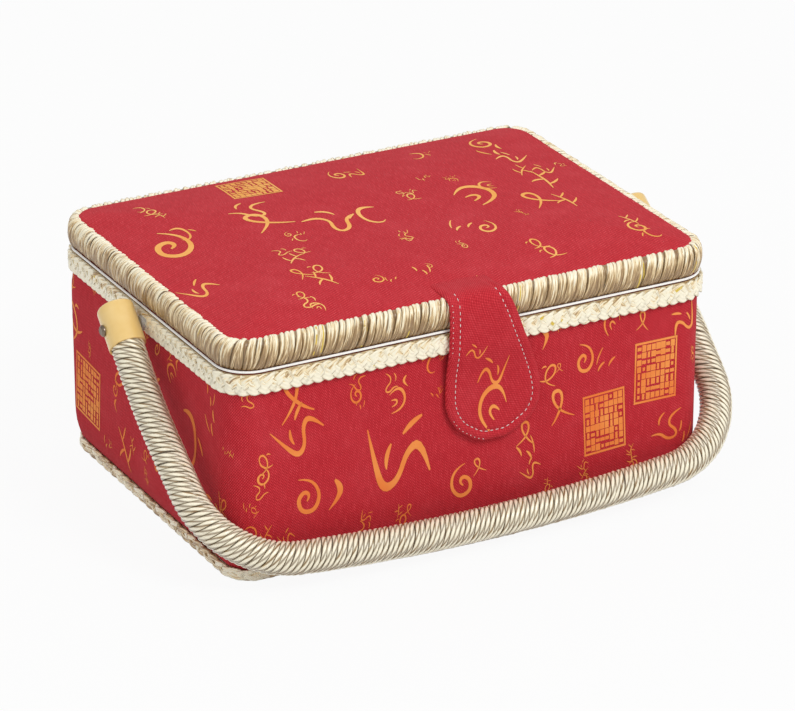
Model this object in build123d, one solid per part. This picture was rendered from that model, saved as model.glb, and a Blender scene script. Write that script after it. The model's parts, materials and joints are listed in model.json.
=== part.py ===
from build123d import *
from math import asin, atan2, cos, degrees, hypot, pi, radians, sin
import os

# Cloth-covered sewing box with a hinged padded lid, a latch tab and a wound carry handle.
# Millimetres. The origin is the middle of the base on the table, +Z up, the latch tab faces -Y.
# Every layer of the box follows one plan outline, drawn in by an inset from the cover cloth's face.

# Plan of the box at the outer face of its cover cloth
body_width = 264.5
body_depth = 192.5
corner_radius = 16.5
least_radius = 1.0

# How far a cutting tool runs past the face that it cuts
overcut = 1.0

# Heights of the box
rim_height = 109.3
foot_gap = 0.2
foot_inset = 4.8
foot_curve = [(4.6, 2.4), (10.6, 0.8), (18.6, 0.0)]

# Layers of card and cloth
glue_line = 0.05
cover_cloth = 0.8
wall_card = 3.0
lining_cloth = 0.6
floor_card = 3.0
base_cloth_thickness = 1.0

# Plaited trims
rim_braid_width = 11.0
rim_braid_stand = 0.7
rim_braid_inner = -0.55
rim_braid_edge = -1.0
rim_braid_lobe = -2.4
rim_braid_dip = -1.8
rim_braid_rear_drop = 0.4
base_braid_height = 5.2
base_braid_outer = 2.1

# Lid
lid_gap = 0.3
lid_inset = 2.9
lid_skirt_cloth = 0.8
lid_rim_card = 2.5
lid_top_card = 2.5
lid_recess_depth = 11.85
cover_edge_rise = 3.65
cover_shoulder = 3.0
cover_crown_rise = 2.6
cover_crown_run = 58.0
band_bottom_rise = 1.6
band_inner = 2.85
band_curve = [(0.0, 1.3), (2.3, -0.6), (6.3, -1.75), (10.8, -1.5), (14.0, 0.2), (15.4, 2.3)]
piping_height = 1.1
piping_outer = 1.2
piping_inner = 2.3

# Cloth hinge at the rear
hinge_tape = 0.4
hinge_tape_width = 190.0
hinge_tape_drop = 9.0
hinge_tape_reach = 3.2

# Pincushion and pocket under the lid
pincushion_length = 72.0
pincushion_width = 46.0
pincushion_corner = 12.0
pincushion_end_gap = 30.25
pincushion_y = -6.0
pincushion_curve = [(0.0, 3.0), (2.2, 0.6), (4.6, 0.0), (7.0, 1.6), (9.0, 6.5), (10.0, 14.0)]
pocket_width = 116.0
pocket_depth = 84.0
pocket_corner = 6.0
pocket_bulge = 7.4
pocket_cloth = 0.8
pocket_end_gap = 22.25
pocket_y = -6.0
pocket_hem = 8.0

# Lift-out tray and the ledges that carry it
tray_recess = 1.9
tray_height = 29.0
tray_wall = 1.6
tray_rib = 1.4
tray_rib_drop = 2.0
tray_inset_top = 7.8
tray_inset_bottom = 9.4
tray_long_rib_y = -24.0
tray_cross_ribs = 3
tray_seat_gap = 0.1
ledge_width = 9.0
ledge_height = 6.0
ledge_length = 150.0

# Latch tab
tab_thickness = 3.2
tab_top_left = -17.1
tab_top_right = 14.2
tab_round_radius = 26.5
tab_round_x = 8.0
tab_hang = 49.3
tab_clearance = 0.3
tab_axis_drop = 0.3
tab_axis_reach = 2.35
tab_below_band = 5.8
tab_below_braid = 1.0
tab_onto_wall = 11.0
tab_end_spare = 2.0
tab_root_thickness = 2.0
tab_root_slope = [(0.2, 0.5), (-2.4, 2.0), (-5.6, 3.5), (-10.0, 4.5)]
magnet_radius = 7.0
magnet_thickness = 1.6
catch_radius = 8.0
catch_thickness = 1.2
catch_drop = 7.0
magnet_clearance = 0.1

# Carry handle, laid out in its own plane and tipped down to the front at rest
pivot_y = -3.5
pivot_drop = 5.3
handle_front_gap = 11.5
handle_run_height = 18.5
handle_arm_bend = 45.0
handle_arm_bow = 2.7
handle_arm_radius = 500.0
handle_corner_lean = 0.6
handle_corner_radius = 48.0
handle_bow = 12.8
handle_bow_radius = 1100.0
winding_radius = 8.2
core_radius = 6.6
winding_clearance = 0.05

# End sockets, rivets and spacer tubes of the handle
socket_radius = 9.3
socket_behind = 11.6
socket_ahead = 11.0
socket_end_play = 0.3
socket_seat = 7.6
socket_floor = 9.2
socket_round = 2.2
rivet_radius = 1.5
rivet_running = 0.05
rivet_head_radius = 2.9
rivet_head_height = 1.5
rivet_head_bevel = 0.9
spacer_radius = 3.8
spacer_length = 4.1
spacer_running = 0.05
washer_radius = 5.0
washer_thickness = 0.8

# Faces and heights that follow from the sizes above
half_width = body_width / 2
half_depth = body_depth / 2
card_outer = cover_cloth + glue_line
card_inner = card_outer + wall_card
lining_outer = card_inner + glue_line
lining_inner = lining_outer + lining_cloth
foot_height = base_braid_height + foot_gap
rim_braid_top = rim_height + rim_braid_stand
rim_braid_bottom = rim_braid_top - rim_braid_width
floor_bottom = base_cloth_thickness + glue_line
floor_top = floor_bottom + floor_card
floor_inset = foot_inset + card_inner + glue_line
lid_bottom = rim_height + lid_gap
lid_rim_bottom = lid_bottom + hinge_tape + glue_line
lid_ceiling = lid_rim_bottom + lid_recess_depth
lid_board_bottom = lid_ceiling + glue_line
lid_board_top = lid_board_bottom + lid_top_card
lid_rim_inner = lid_inset + lid_rim_card
lid_lining_outer = lid_rim_inner + glue_line
lid_lining_inner = lid_lining_outer + lining_cloth
lid_lining_face = lid_ceiling - glue_line - lining_cloth
band_bottom = lid_bottom + band_bottom_rise
band_top = band_bottom + band_curve[-1][0]
tray_top = rim_height - tray_recess
tray_bottom = tray_top - tray_height
hinge_y = half_depth + glue_line + hinge_tape
hinge_z = lid_bottom
tab_axis_y = -(half_depth + tab_axis_reach)
tab_axis_height = band_top - tab_axis_drop
tab_round_z = tab_axis_height - tab_hang
catch_height = tab_round_z - catch_drop
spacer_start = half_width + glue_line
spacer_end = spacer_start + spacer_length
pivot_half_spacing = spacer_end + socket_end_play + socket_radius
pivot_height = rim_height - pivot_drop
handle_ahead = half_depth + handle_front_gap + pivot_y
handle_down = pivot_height - handle_run_height
handle_tip = degrees(atan2(handle_down, handle_ahead))
handle_corner_reach = hypot(handle_down, handle_ahead)
rivet_outer_face = pivot_half_spacing + socket_radius + socket_end_play
lining_face_x = half_width - lining_inner
pincushion_x = half_width - pincushion_end_gap - pincushion_length / 2
pocket_x = pocket_end_gap + pocket_width / 2 - half_width


def outline(inset, z, width=body_width, depth=body_depth, radius=corner_radius):
    """Rounded rectangle at height z, drawn in all round by an inset."""
    corner = max(radius - inset, least_radius)
    return Pos(0, 0, z) * RectangleRounded(width - 2 * inset, depth - 2 * inset, corner)


def stacked(curve, inset=0.0, **plan):
    """Solid through outlines at each (height, inset) of a curve, all drawn in further."""
    return loft([outline(step + inset, z, **plan).face() for z, step in curve], ruled=True)


def prism(inset, low, high, **plan):
    """Straight block with one plan outline."""
    return extrude(outline(inset, low, **plan), amount=high - low)


def band_of(outer, inner, low, high):
    """Straight ring between two insets."""
    return prism(outer, low, high) - prism(inner, low - overcut, high + overcut)


def cross_bore(radius, start, end):
    """Bar along X at the handle's pivot, from one x to another."""
    middle = Pos((start + end) / 2, pivot_y, pivot_height)
    return middle * Rot(0, 90, 0) * Cylinder(radius, abs(end - start))


def both_sides(make, *sizes):
    """The same piece at the right and the left end of the box."""
    return [make(side, *sizes) for side in (1, -1)]


def side_bores(radius):
    """Bores through both end walls and their trims at the handle's pivot."""
    def bore(side):
        return cross_bore(radius, side * (lining_face_x - overcut), side * pivot_half_spacing)
    return both_sides(bore)


def wall_curve(low, high):
    """Foot to rim of the end and side walls as (height, inset), straight below the foot."""
    foot = [(foot_height, foot_inset)]
    rise = [(foot_height + z, step) for z, step in foot_curve]
    below = [(low, foot_inset)] if low < foot_height else []
    return below + foot + rise + [(high, 0.0)]


def thick_line(points, thickness):
    """Closed outline of a bent sheet, from the points of its middle line."""
    ahead, behind = [], []
    for i, (y, z) in enumerate(points):
        y0, z0 = points[max(i - 1, 0)]
        y1, z1 = points[min(i + 1, len(points) - 1)]
        length = hypot(y1 - y0, z1 - z0)
        ny, nz = (z1 - z0) / length, (y0 - y1) / length
        ahead.append((y + ny * thickness / 2, z + nz * thickness / 2))
        behind.append((y - ny * thickness / 2, z - nz * thickness / 2))
    return ahead + behind[::-1]


# Body of the box

def make_wall_board():
    outer = stacked(wall_curve(floor_bottom, rim_height - lining_cloth - glue_line), card_outer)
    inner = stacked(wall_curve(floor_bottom - overcut, rim_height + overcut), card_inner)
    board = outer - inner
    for bore in side_bores(rivet_radius):
        board -= bore
    catch_face = -(half_depth - card_outer)
    sunk = catch_thickness + glue_line
    pocket = Pos(tab_round_x, catch_face + (sunk - overcut) / 2, catch_height) * Rot(90, 0, 0)
    return board - pocket * Cylinder(catch_radius + glue_line, sunk + overcut)


def make_body_cover():
    cover = stacked(wall_curve(foot_height, rim_height))
    cover -= stacked(wall_curve(foot_height - overcut, rim_height + overcut), cover_cloth)
    for bore in side_bores(rivet_radius):
        cover -= bore
    return cover


def make_wall_lining():
    low = floor_top + lining_cloth + 2 * glue_line
    lining = stacked(wall_curve(low, rim_height), lining_outer)
    lining += band_of(card_outer, lining_inner, rim_height - lining_cloth, rim_height)
    lining -= stacked(wall_curve(low - overcut, rim_height + overcut), lining_inner)
    for bore in side_bores(rivet_radius):
        lining -= bore
    return lining


def make_floor_board():
    return prism(floor_inset, floor_bottom, floor_top)


def make_floor_lining():
    return prism(floor_inset, floor_top + glue_line, floor_top + glue_line + lining_cloth)


def make_base_cloth():
    return prism(foot_inset + card_outer, 0, base_cloth_thickness)


def make_base_braid():
    return band_of(base_braid_outer, foot_inset + cover_cloth, 0, base_braid_height)


def make_rim_braid():
    """Flat plait with two rows of lobes, pressed lower along the cloth hinge at the rear."""
    steps = [rim_braid_edge, rim_braid_lobe, rim_braid_dip, rim_braid_lobe, rim_braid_edge]
    rise = rim_braid_width / (len(steps) - 1)
    braid = stacked([(rim_braid_bottom + i * rise, step) for i, step in enumerate(steps)])
    braid -= prism(rim_braid_inner, rim_braid_bottom - overcut, rim_braid_top + overcut)
    for bore in side_bores(spacer_radius + spacer_running):
        braid -= bore
    reach = rim_braid_stand + rim_braid_rear_drop + overcut
    pressed = Pos(0, hinge_y, hinge_z - rim_braid_rear_drop + reach / 2)
    return braid - pressed * Box(hinge_tape_width + 2 * overcut, body_depth / 4, reach)


def make_catch_plate():
    face = -(half_depth - card_outer)
    place = Pos(tab_round_x, face + glue_line + catch_thickness / 2, catch_height) * Rot(90, 0, 0)
    return place * Cylinder(catch_radius, catch_thickness)


def make_tray_ledge(side):
    x = side * (lining_face_x - glue_line - ledge_width / 2)
    z = tray_bottom - tray_seat_gap - ledge_height / 2
    return Pos(x, 0, z) * Box(ledge_width, ledge_length, ledge_height)


# Cloth hinge

def make_hinge_tape_body():
    y = half_depth + glue_line + hinge_tape / 2
    top = rim_height
    return Pos(0, y, top - hinge_tape_drop / 2) * Box(hinge_tape_width, hinge_tape, hinge_tape_drop)


def make_hinge_tape_lid():
    y = hinge_y - hinge_tape_reach / 2
    return Pos(0, y, lid_bottom + hinge_tape / 2) * Box(hinge_tape_width, hinge_tape_reach, hinge_tape)


# Lid

def crowned(base, depth):
    """Lid top above a base height: straight side, round shoulder and soft crown, a depth in."""
    edge = lid_board_bottom + cover_edge_rise
    curve = [(base, lid_inset + depth)]
    for turn in (0, 30, 60, 90):
        across = cover_shoulder - (cover_shoulder - depth) * cos(radians(turn))
        up = (cover_shoulder - depth) * sin(radians(turn))
        curve.append((edge + up, lid_inset + across))
    top, inset = curve[-1]
    for share in (0.1, 0.25, 0.5, 0.75, 1.0):
        rise = cover_crown_rise * (1 - (1 - share) ** 2)
        curve.append((top + rise, inset + cover_crown_run * share))
    return stacked(curve)


def make_lid_cover():
    return crowned(lid_board_bottom, 0.0) - crowned(lid_board_bottom - overcut, lid_skirt_cloth)


def make_lid_pad():
    return crowned(lid_board_top + glue_line, lid_skirt_cloth + glue_line)


def make_lid_board():
    return prism(lid_inset + lid_skirt_cloth + glue_line, lid_board_bottom, lid_board_top)


def make_lid_rim_board():
    return band_of(lid_inset, lid_rim_inner, lid_rim_bottom, lid_ceiling)


def make_lid_lining():
    lining = prism(lid_lining_outer, lid_rim_bottom, lid_ceiling - glue_line)
    return lining - prism(lid_lining_inner, lid_rim_bottom - overcut, lid_lining_face)


def make_lid_band():
    band = stacked([(band_bottom + z, step) for z, step in band_curve])
    return band - prism(band_inner, band_bottom - overcut, band_top + overcut)


def make_lid_piping():
    low = lid_rim_bottom
    return band_of(piping_outer, piping_inner, low, low + piping_height)


def make_pincushion():
    base = lid_lining_face - glue_line
    plan = dict(width=pincushion_length, depth=pincushion_width, radius=pincushion_corner)
    curve = [(base - z, step) for z, step in pincushion_curve]
    return Pos(pincushion_x, pincushion_y, 0) * stacked(curve[::-1], **plan)


def make_lid_pocket():
    top = lid_lining_face - glue_line
    low = top - pocket_bulge
    plan = dict(width=pocket_width, depth=pocket_depth, radius=pocket_corner)
    pouch = prism(0.0, low, top, **plan)
    pouch -= prism(pocket_cloth, low + pocket_cloth, top + overcut, **plan)
    mouth = Pos(0, -pocket_depth / 2, (low + top) / 2)
    pouch -= mouth * Box(pocket_width + overcut, 2 * pocket_hem, pocket_bulge + overcut)
    return Pos(pocket_x, pocket_y, 0) * pouch


def make_pocket_elastic():
    top = lid_lining_face - glue_line
    y = pocket_y - pocket_depth / 2 + pocket_hem - glue_line
    low = top - pocket_bulge
    bar = Box(pocket_width - 2 * pocket_corner, pocket_cloth * 2, pocket_cloth * 2)
    return Pos(pocket_x, y - pocket_cloth, low + pocket_cloth) * bar


# Latch tab

def tab_outline():
    """Front view of the tab: a round end below a narrower straight top."""
    circle = Pos(tab_round_x, tab_round_z) * Circle(tab_round_radius)
    high = tab_axis_height + tab_thickness
    top = Line((tab_top_left, high), (tab_top_right, high))
    return make_hull(circle.edges() + top.edges())


def tab_line():
    """Middle line of the hanging tab from the fold down, as (y, z)."""
    half = tab_thickness / 2 + tab_clearance
    over_band = -(half_depth - band_curve[2][1] + half)
    over_braid = -(half_depth - rim_braid_lobe + half)
    on_wall = -(half_depth + half)
    return [
        (tab_axis_y, tab_axis_height),
        (over_band, band_top - tab_below_band),
        (over_braid, rim_braid_top),
        (over_braid, rim_braid_bottom - tab_below_braid),
        (on_wall, rim_braid_bottom - tab_below_braid - tab_onto_wall),
        (on_wall, tab_round_z - tab_round_radius - tab_end_spare),
    ]


def side_shape(points, low_x, high_x):
    """Shape drawn in the Y-Z plane and drawn out along X."""
    face = make_face(Polyline(*[(0, y, z) for y, z in points], close=True))
    return Pos(low_x, 0, 0) * extrude(face, amount=high_x - low_x, dir=(1, 0, 0))


def tab_front_prism():
    front = Plane(origin=(0, 0, 0), x_dir=(1, 0, 0), z_dir=(0, -1, 0))
    return extrude(front * tab_outline(), amount=body_depth)


def magnet_place():
    return Pos(tab_round_x, -(half_depth + tab_clearance + tab_thickness / 2), catch_height)


def make_tab_cloth():
    reach = tab_round_radius + overcut
    low, high = tab_round_x - reach, tab_round_x + reach
    sheet = side_shape(thick_line(tab_line(), tab_thickness), low, high)
    fold = Pos((low + high) / 2, tab_axis_y, tab_axis_height) * Rot(0, 90, 0)
    sheet += fold * Cylinder(tab_thickness / 2, high - low)
    tab = sheet & tab_front_prism()
    cavity = Cylinder(magnet_radius + magnet_clearance, magnet_thickness + magnet_clearance)
    return tab - magnet_place() * Rot(90, 0, 0) * cavity


def make_tab_magnet():
    return magnet_place() * Rot(90, 0, 0) * Cylinder(magnet_radius, magnet_thickness)


def make_tab_root():
    points = [(-(half_depth + out), band_top + z) for out, z in tab_root_slope]
    return side_shape(thick_line(points, tab_root_thickness), tab_top_left, tab_top_right)


# Carry handle

def handle_point(across, along):
    """Point of the handle's plane at rest, from the pivot line."""
    tip = radians(handle_tip)
    return (across, pivot_y - along * cos(tip), pivot_height - along * sin(tip))


def bow_radius():
    """Radius of the front run's bow, limited by the room that the corners' fillets leave."""
    half_run = pivot_half_spacing - handle_corner_lean
    room = hypot(half_run, handle_bow) - handle_corner_radius
    return min(handle_bow_radius, room * half_run / handle_bow)


def handle_route(start):
    """Middle line of the handle, begun a distance along the arms from the pivot."""
    arm = [(pivot_half_spacing + handle_arm_bow * start / handle_arm_bend, start),
           (pivot_half_spacing + handle_arm_bow, handle_arm_bend),
           (pivot_half_spacing - handle_corner_lean, handle_corner_reach)]
    left = [handle_point(-across, along) for across, along in arm]
    right = [handle_point(across, along) for across, along in reversed(arm)]
    peak = handle_point(0, handle_corner_reach + handle_bow)
    bends = [handle_arm_radius, handle_corner_radius]
    return FilletPolyline(*left, peak, *right, radius=[*bends, bow_radius(), *reversed(bends)])


def handle_reach():
    """Distance from the pivot line to the outermost point of the middle line."""
    return (Vector(*handle_point(0, 0)) - handle_route(0) @ 0.5).length


def swept(route, section):
    start = Plane(origin=route @ 0, z_dir=route % 0)
    return sweep(start * section, path=route)


def make_handle_winding():
    section = Circle(winding_radius) - Circle(core_radius + winding_clearance)
    return swept(handle_route(socket_seat + winding_clearance), section)


def make_handle_core():
    core = swept(handle_route(-socket_floor), Circle(core_radius))
    for bore in both_sides(rivet_bore):
        core -= bore
    return core


def rivet_bore(side):
    """Running bore for the rivet through one end of the handle."""
    reach = socket_radius + overcut
    near, far = side * (pivot_half_spacing - reach), side * (pivot_half_spacing + reach)
    return cross_bore(rivet_radius + rivet_running, near, far)


def make_socket(side):
    """Moulded cup on the end of the handle, with a stepped bore for the core and the winding."""
    near = Vector(*handle_point(side * pivot_half_spacing, 0))
    far = Vector(*handle_point(side * (pivot_half_spacing + handle_arm_bow), handle_arm_bend))
    along = Plane(origin=near, z_dir=far - near)
    length = socket_behind + socket_ahead
    cup = Pos(0, 0, (socket_ahead - socket_behind) / 2) * Cylinder(socket_radius, length)
    cup = fillet(cup.edges().sort_by(Axis.Z)[0], socket_round)
    mouth = socket_ahead - socket_seat
    cup -= Pos(0, 0, socket_seat + mouth / 2) * Cylinder(winding_radius + winding_clearance, mouth)
    deep = socket_seat + socket_floor + winding_clearance
    cup -= Pos(0, 0, socket_seat - deep / 2) * Cylinder(core_radius + winding_clearance, deep)
    cup = along * cup
    return cup - rivet_bore(side)


def make_rivet(side):
    """Shank from the outer head through handle, spacer and wall to the head inside."""
    inner_face = lining_face_x - glue_line - washer_thickness
    shank = cross_bore(rivet_radius, side * inner_face, side * rivet_outer_face)
    outer = cross_bore(rivet_head_radius, side * rivet_outer_face,
                       side * (rivet_outer_face + rivet_head_height))
    rim = outer.edges().sort_by(Axis.X)[-1 if side > 0 else 0]
    outer = chamfer(rim, rivet_head_bevel)
    inner = cross_bore(rivet_head_radius, side * inner_face, side * (inner_face - washer_thickness))
    return shank + outer + inner


def make_washer(side):
    inner_face = lining_face_x - glue_line - washer_thickness
    washer = cross_bore(washer_radius, side * inner_face, side * (lining_face_x - glue_line))
    bore = cross_bore(rivet_radius + glue_line, side * (inner_face - overcut), side * half_width)
    return washer - bore


def make_spacer(side):
    tube = cross_bore(spacer_radius, side * spacer_start, side * spacer_end)
    radius = rivet_radius + spacer_running
    near, far = side * (spacer_start - overcut), side * (spacer_end + overcut)
    return tube - cross_bore(radius, near, far)


# Lift-out tray

def make_tray():
    outer = [(tray_bottom, tray_inset_bottom), (tray_top, tray_inset_top)]
    floor = tray_bottom + tray_wall
    high = tray_top + overcut
    hollow = [(floor, tray_inset_bottom + tray_wall), (high, tray_inset_top + tray_wall)]
    cavity = stacked(hollow)
    rib_height = tray_height - tray_wall - tray_rib_drop
    rib_z = floor + rib_height / 2
    ribs = Pos(0, tray_long_rib_y, rib_z) * Box(body_width, tray_rib, rib_height)
    rear_length = half_depth - tray_long_rib_y
    for x in cross_rib_places():
        ribs += Pos(x, tray_long_rib_y + rear_length / 2, rib_z) * Box(tray_rib, rear_length, rib_height)
    return stacked(outer) - (cavity - ribs)


def cross_rib_places():
    """X of the ribs that part the rear of the tray into equal boxes."""
    inside = body_width - 2 * (tray_inset_top + tray_wall)
    pitch = inside / (tray_cross_ribs + 1)
    return [pitch * (i + 1) - inside / 2 for i in range(tray_cross_ribs)]


def report_sizes():
    """Sizes that the record repeats."""
    print("hinge axis y z", hinge_y, hinge_z)
    print("tab axis y z", tab_axis_y, tab_axis_height)
    print("pivot y z", pivot_y, pivot_height)
    print("tray floor and top", tray_bottom + tray_wall, tray_top, "ribs at", cross_rib_places())
    print("inside width and depth", body_width - 2 * lining_inner, body_depth - 2 * lining_inner)
    print("floor lining top", floor_top + glue_line + lining_cloth)
    print("lid lining face", lid_lining_face, "lid rim bottom", lid_rim_bottom)
    route = handle_route(socket_seat)
    print("handle winding length", route.length, "tip", handle_tip, "reach", handle_corner_reach)
    print("handle swing to the table",
          degrees(asin((pivot_height - winding_radius) / handle_reach())) - handle_tip)
    section = pi * (winding_radius ** 2 - (core_radius + winding_clearance) ** 2)
    print("winding section times length", section * route.length)


nodes = {
    "wall_board": make_wall_board,
    "floor_board": make_floor_board,
    "body_cover": make_body_cover,
    "wall_lining": make_wall_lining,
    "floor_lining": make_floor_lining,
    "base_cloth": make_base_cloth,
    "base_braid": make_base_braid,
    "rim_braid": make_rim_braid,
    "catch_plate": make_catch_plate,
    "tray_ledges": lambda: Compound(children=both_sides(make_tray_ledge)),
    "hinge_tape_body": make_hinge_tape_body,
    "hinge_tape_lid": make_hinge_tape_lid,
    "lid_board": make_lid_board,
    "lid_rim_board": make_lid_rim_board,
    "lid_pad": make_lid_pad,
    "lid_cover": make_lid_cover,
    "lid_band": make_lid_band,
    "lid_piping": make_lid_piping,
    "lid_lining": make_lid_lining,
    "pincushion": make_pincushion,
    "lid_pocket": make_lid_pocket,
    "pocket_elastic": make_pocket_elastic,
    "tab_root": make_tab_root,
    "tab_cloth": make_tab_cloth,
    "tab_magnet": make_tab_magnet,
    "handle_core": make_handle_core,
    "handle_winding": make_handle_winding,
    "end_sockets": lambda: Compound(children=both_sides(make_socket)),
    "pivot_rivets": lambda: Compound(children=both_sides(make_rivet)),
    "rivet_washers": lambda: Compound(children=both_sides(make_washer)),
    "spacer_tubes": lambda: Compound(children=both_sides(make_spacer)),
    "tray": make_tray,
}

os.makedirs("parts", exist_ok=True)
for name, make in nodes.items():
    export_step(make(), f"parts/{name}.step")
report_sizes()
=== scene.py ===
import bpy
import json
import math
import random
import numpy as np
from mathutils import Matrix, Vector, geometry, noise


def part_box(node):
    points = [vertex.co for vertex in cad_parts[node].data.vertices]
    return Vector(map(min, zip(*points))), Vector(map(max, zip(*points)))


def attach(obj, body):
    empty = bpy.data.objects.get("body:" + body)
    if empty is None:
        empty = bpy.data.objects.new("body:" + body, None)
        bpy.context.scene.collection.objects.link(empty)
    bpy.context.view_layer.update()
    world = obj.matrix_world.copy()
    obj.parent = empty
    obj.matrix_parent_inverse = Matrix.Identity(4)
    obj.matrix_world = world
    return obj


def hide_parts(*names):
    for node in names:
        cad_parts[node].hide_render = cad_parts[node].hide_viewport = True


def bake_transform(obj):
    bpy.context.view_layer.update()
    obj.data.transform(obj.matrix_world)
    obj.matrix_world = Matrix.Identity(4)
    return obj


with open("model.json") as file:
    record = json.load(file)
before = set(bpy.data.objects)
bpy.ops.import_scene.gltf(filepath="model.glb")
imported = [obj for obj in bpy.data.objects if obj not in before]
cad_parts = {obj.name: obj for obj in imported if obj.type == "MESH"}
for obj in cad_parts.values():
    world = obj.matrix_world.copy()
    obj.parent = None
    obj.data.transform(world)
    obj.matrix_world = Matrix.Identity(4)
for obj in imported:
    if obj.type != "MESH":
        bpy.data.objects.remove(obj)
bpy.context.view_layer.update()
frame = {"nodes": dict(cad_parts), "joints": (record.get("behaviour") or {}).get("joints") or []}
mm = 0.001

# Outer face of the cover cloth; every layer of the box follows this plan
coverLow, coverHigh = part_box("body_cover")
halfWidth, halfDepth = coverHigh.x, coverHigh.y
rimZ, footZ = coverHigh.z, coverLow.z
cornerRadius = 16.5 * mm


# Pieces, their meshes and modifiers

def activate(*pieces):
    for item in bpy.context.selected_objects:
        item.select_set(False)
    for piece in pieces:
        piece.select_set(True)
    bpy.context.view_layer.objects.active = pieces[0] if pieces else None


def applyModifiers(piece):
    activate(piece)
    for modifier in list(piece.modifiers):
        bpy.ops.object.modifier_apply(modifier=modifier.name)
    return piece


def modify(piece, kind, **settings):
    modifier = piece.modifiers.new(kind.lower(), kind)
    for name, value in settings.items():
        setattr(modifier, name, value)
    return applyModifiers(piece)


def joinPieces(name, pieces):
    activate(*pieces)
    if len(pieces) > 1:
        bpy.ops.object.join()
    joined = bpy.context.object
    joined.name = name
    return joined


def newPiece(name):
    # the primitive just added, under its own name
    piece = bpy.context.object
    piece.name = name
    piece.data.name = name
    return piece


def newGrid(name, cutsX, cutsY, size=2):
    # a flat grid and its places, from -1 to 1 at size 2
    bpy.ops.mesh.primitive_grid_add(x_subdivisions=cutsX, y_subdivisions=cutsY, size=size)
    piece = newPiece(name)
    return piece, coordsOf(piece)[:, :2]


def copyOf(source, matrix):
    # a copy with its own mesh, moved in the mesh
    copied = source.copy()
    copied.data = source.data.copy()
    bpy.context.scene.collection.objects.link(copied)
    copied.data.transform(matrix)
    return copied


def editMesh(piece, operator, **settings):
    # one edit mode operator on the whole mesh
    activate(piece)
    bpy.ops.object.mode_set(mode="EDIT")
    bpy.ops.mesh.select_all(action="SELECT")
    operator(**settings)
    bpy.ops.object.mode_set(mode="OBJECT")
    return piece


def faceOutwards(piece):
    return editMesh(piece, bpy.ops.mesh.normals_make_consistent, inside=False)


def faceBack(piece):
    return editMesh(piece, bpy.ops.mesh.flip_normals)


def drawDown(piece, depth, steps=2, close=False):
    # draws a sheet's open edge down, and closes it underneath
    activate(piece)
    bpy.ops.object.mode_set(mode="EDIT")
    bpy.ops.mesh.select_mode(type="EDGE")
    bpy.ops.mesh.select_all(action="DESELECT")
    bpy.ops.mesh.select_non_manifold(extend=False, use_wire=False, use_multi_face=False,
                                     use_non_contiguous=False, use_verts=False)
    for _ in range(steps):
        bpy.ops.mesh.extrude_edges_move(TRANSFORM_OT_translate={"value": (0, 0, -depth / steps)})
    if close:
        bpy.ops.mesh.edge_face_add()
    bpy.ops.object.mode_set(mode="OBJECT")
    return piece


def smooth(piece, angle=None):
    activate(piece)
    if angle is None:
        bpy.ops.object.shade_smooth()
    else:
        bpy.ops.object.shade_smooth_by_angle(angle=math.radians(angle))
    return piece


def coordsOf(piece):
    flat = np.zeros(len(piece.data.vertices) * 3)
    piece.data.vertices.foreach_get("co", flat)
    return flat.reshape(-1, 3)


def moveVertices(piece, places):
    piece.data.vertices.foreach_set("co", np.asarray(places, float).ravel())
    piece.data.update()
    return piece


def cornersOf(piece):
    # the vertex at each corner of the faces
    corners = np.zeros(len(piece.data.loops), int)
    piece.data.loops.foreach_get("vertex_index", corners)
    return corners


def uvOf(piece):
    uv = np.zeros(len(piece.data.loops) * 2)
    piece.data.uv_layers[0].data.foreach_get("uv", uv)
    return uv.reshape(-1, 2)


def setUv(piece, uv):
    layer = piece.data.uv_layers[0] if piece.data.uv_layers else piece.data.uv_layers.new(name="UVMap")
    layer.data.foreach_set("uv", np.asarray(uv, float).ravel())
    return piece


def unfold(piece):
    # UV map in metres, seen from above
    return setUv(piece, coordsOf(piece)[cornersOf(piece)][:, :2])


def thicken(piece, thickness, offset=-1.0):
    return modify(piece, "SOLIDIFY", thickness=thickness, offset=offset, use_even_offset=True)


def paint(piece, look):
    piece.data.materials.clear()
    piece.data.materials.append(materials[look])
    return piece


def dress(piece, look, body, slot, *nodes, angle=None):
    # smooth and painted, it rides on its body and stands for its nodes
    paint(smooth(piece, angle), look)
    if body:
        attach(piece, body)
    if nodes:
        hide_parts(*nodes)
    return piece


def rising(values, start, end):
    # share from 0 at the start to 1 at the end
    return np.clip((values - start) / (end - start), 0, 1)


def acrossStrand(share):
    # u across one strand, just clear of its neighbours' whole numbers
    return share * 0.996 + 0.002


# Curves: paths, profiles and sweeps

def lineCurve(name, points, closed=False, flat=False, kind="POLY", resolution=6):
    # points are (x, y, z) or (x, y, z, width)
    curve = bpy.data.curves.new(name, "CURVE")
    curve.dimensions = "2D" if flat else "3D"
    curve.resolution_u = resolution
    curve.twist_mode = "Z_UP"
    spline = curve.splines.new(kind)
    spline.points.add(len(points) - 1)
    for knot, point in zip(spline.points, points):
        knot.co = (*point[:3], 1)
        knot.radius = point[3] if len(point) > 3 else 1
    spline.use_cyclic_u = closed
    if kind == "NURBS":
        spline.order_u = 3
        spline.use_endpoint_u = not closed
    piece = bpy.data.objects.new(name, curve)
    bpy.context.scene.collection.objects.link(piece)
    return piece


def sweep(name, path, profile, capped=False):
    # a profile of (outward, up) points drawn along a path, as a mesh
    section = lineCurve(name + "Section", [(*point, 0) for point in profile[0]], profile[1], flat=True)
    path.data.bevel_mode = "OBJECT"
    path.data.bevel_object = section
    path.data.use_fill_caps = capped
    activate(path)
    bpy.ops.object.convert(target="MESH")
    bpy.data.objects.remove(section)
    return newPiece(name)


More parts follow.
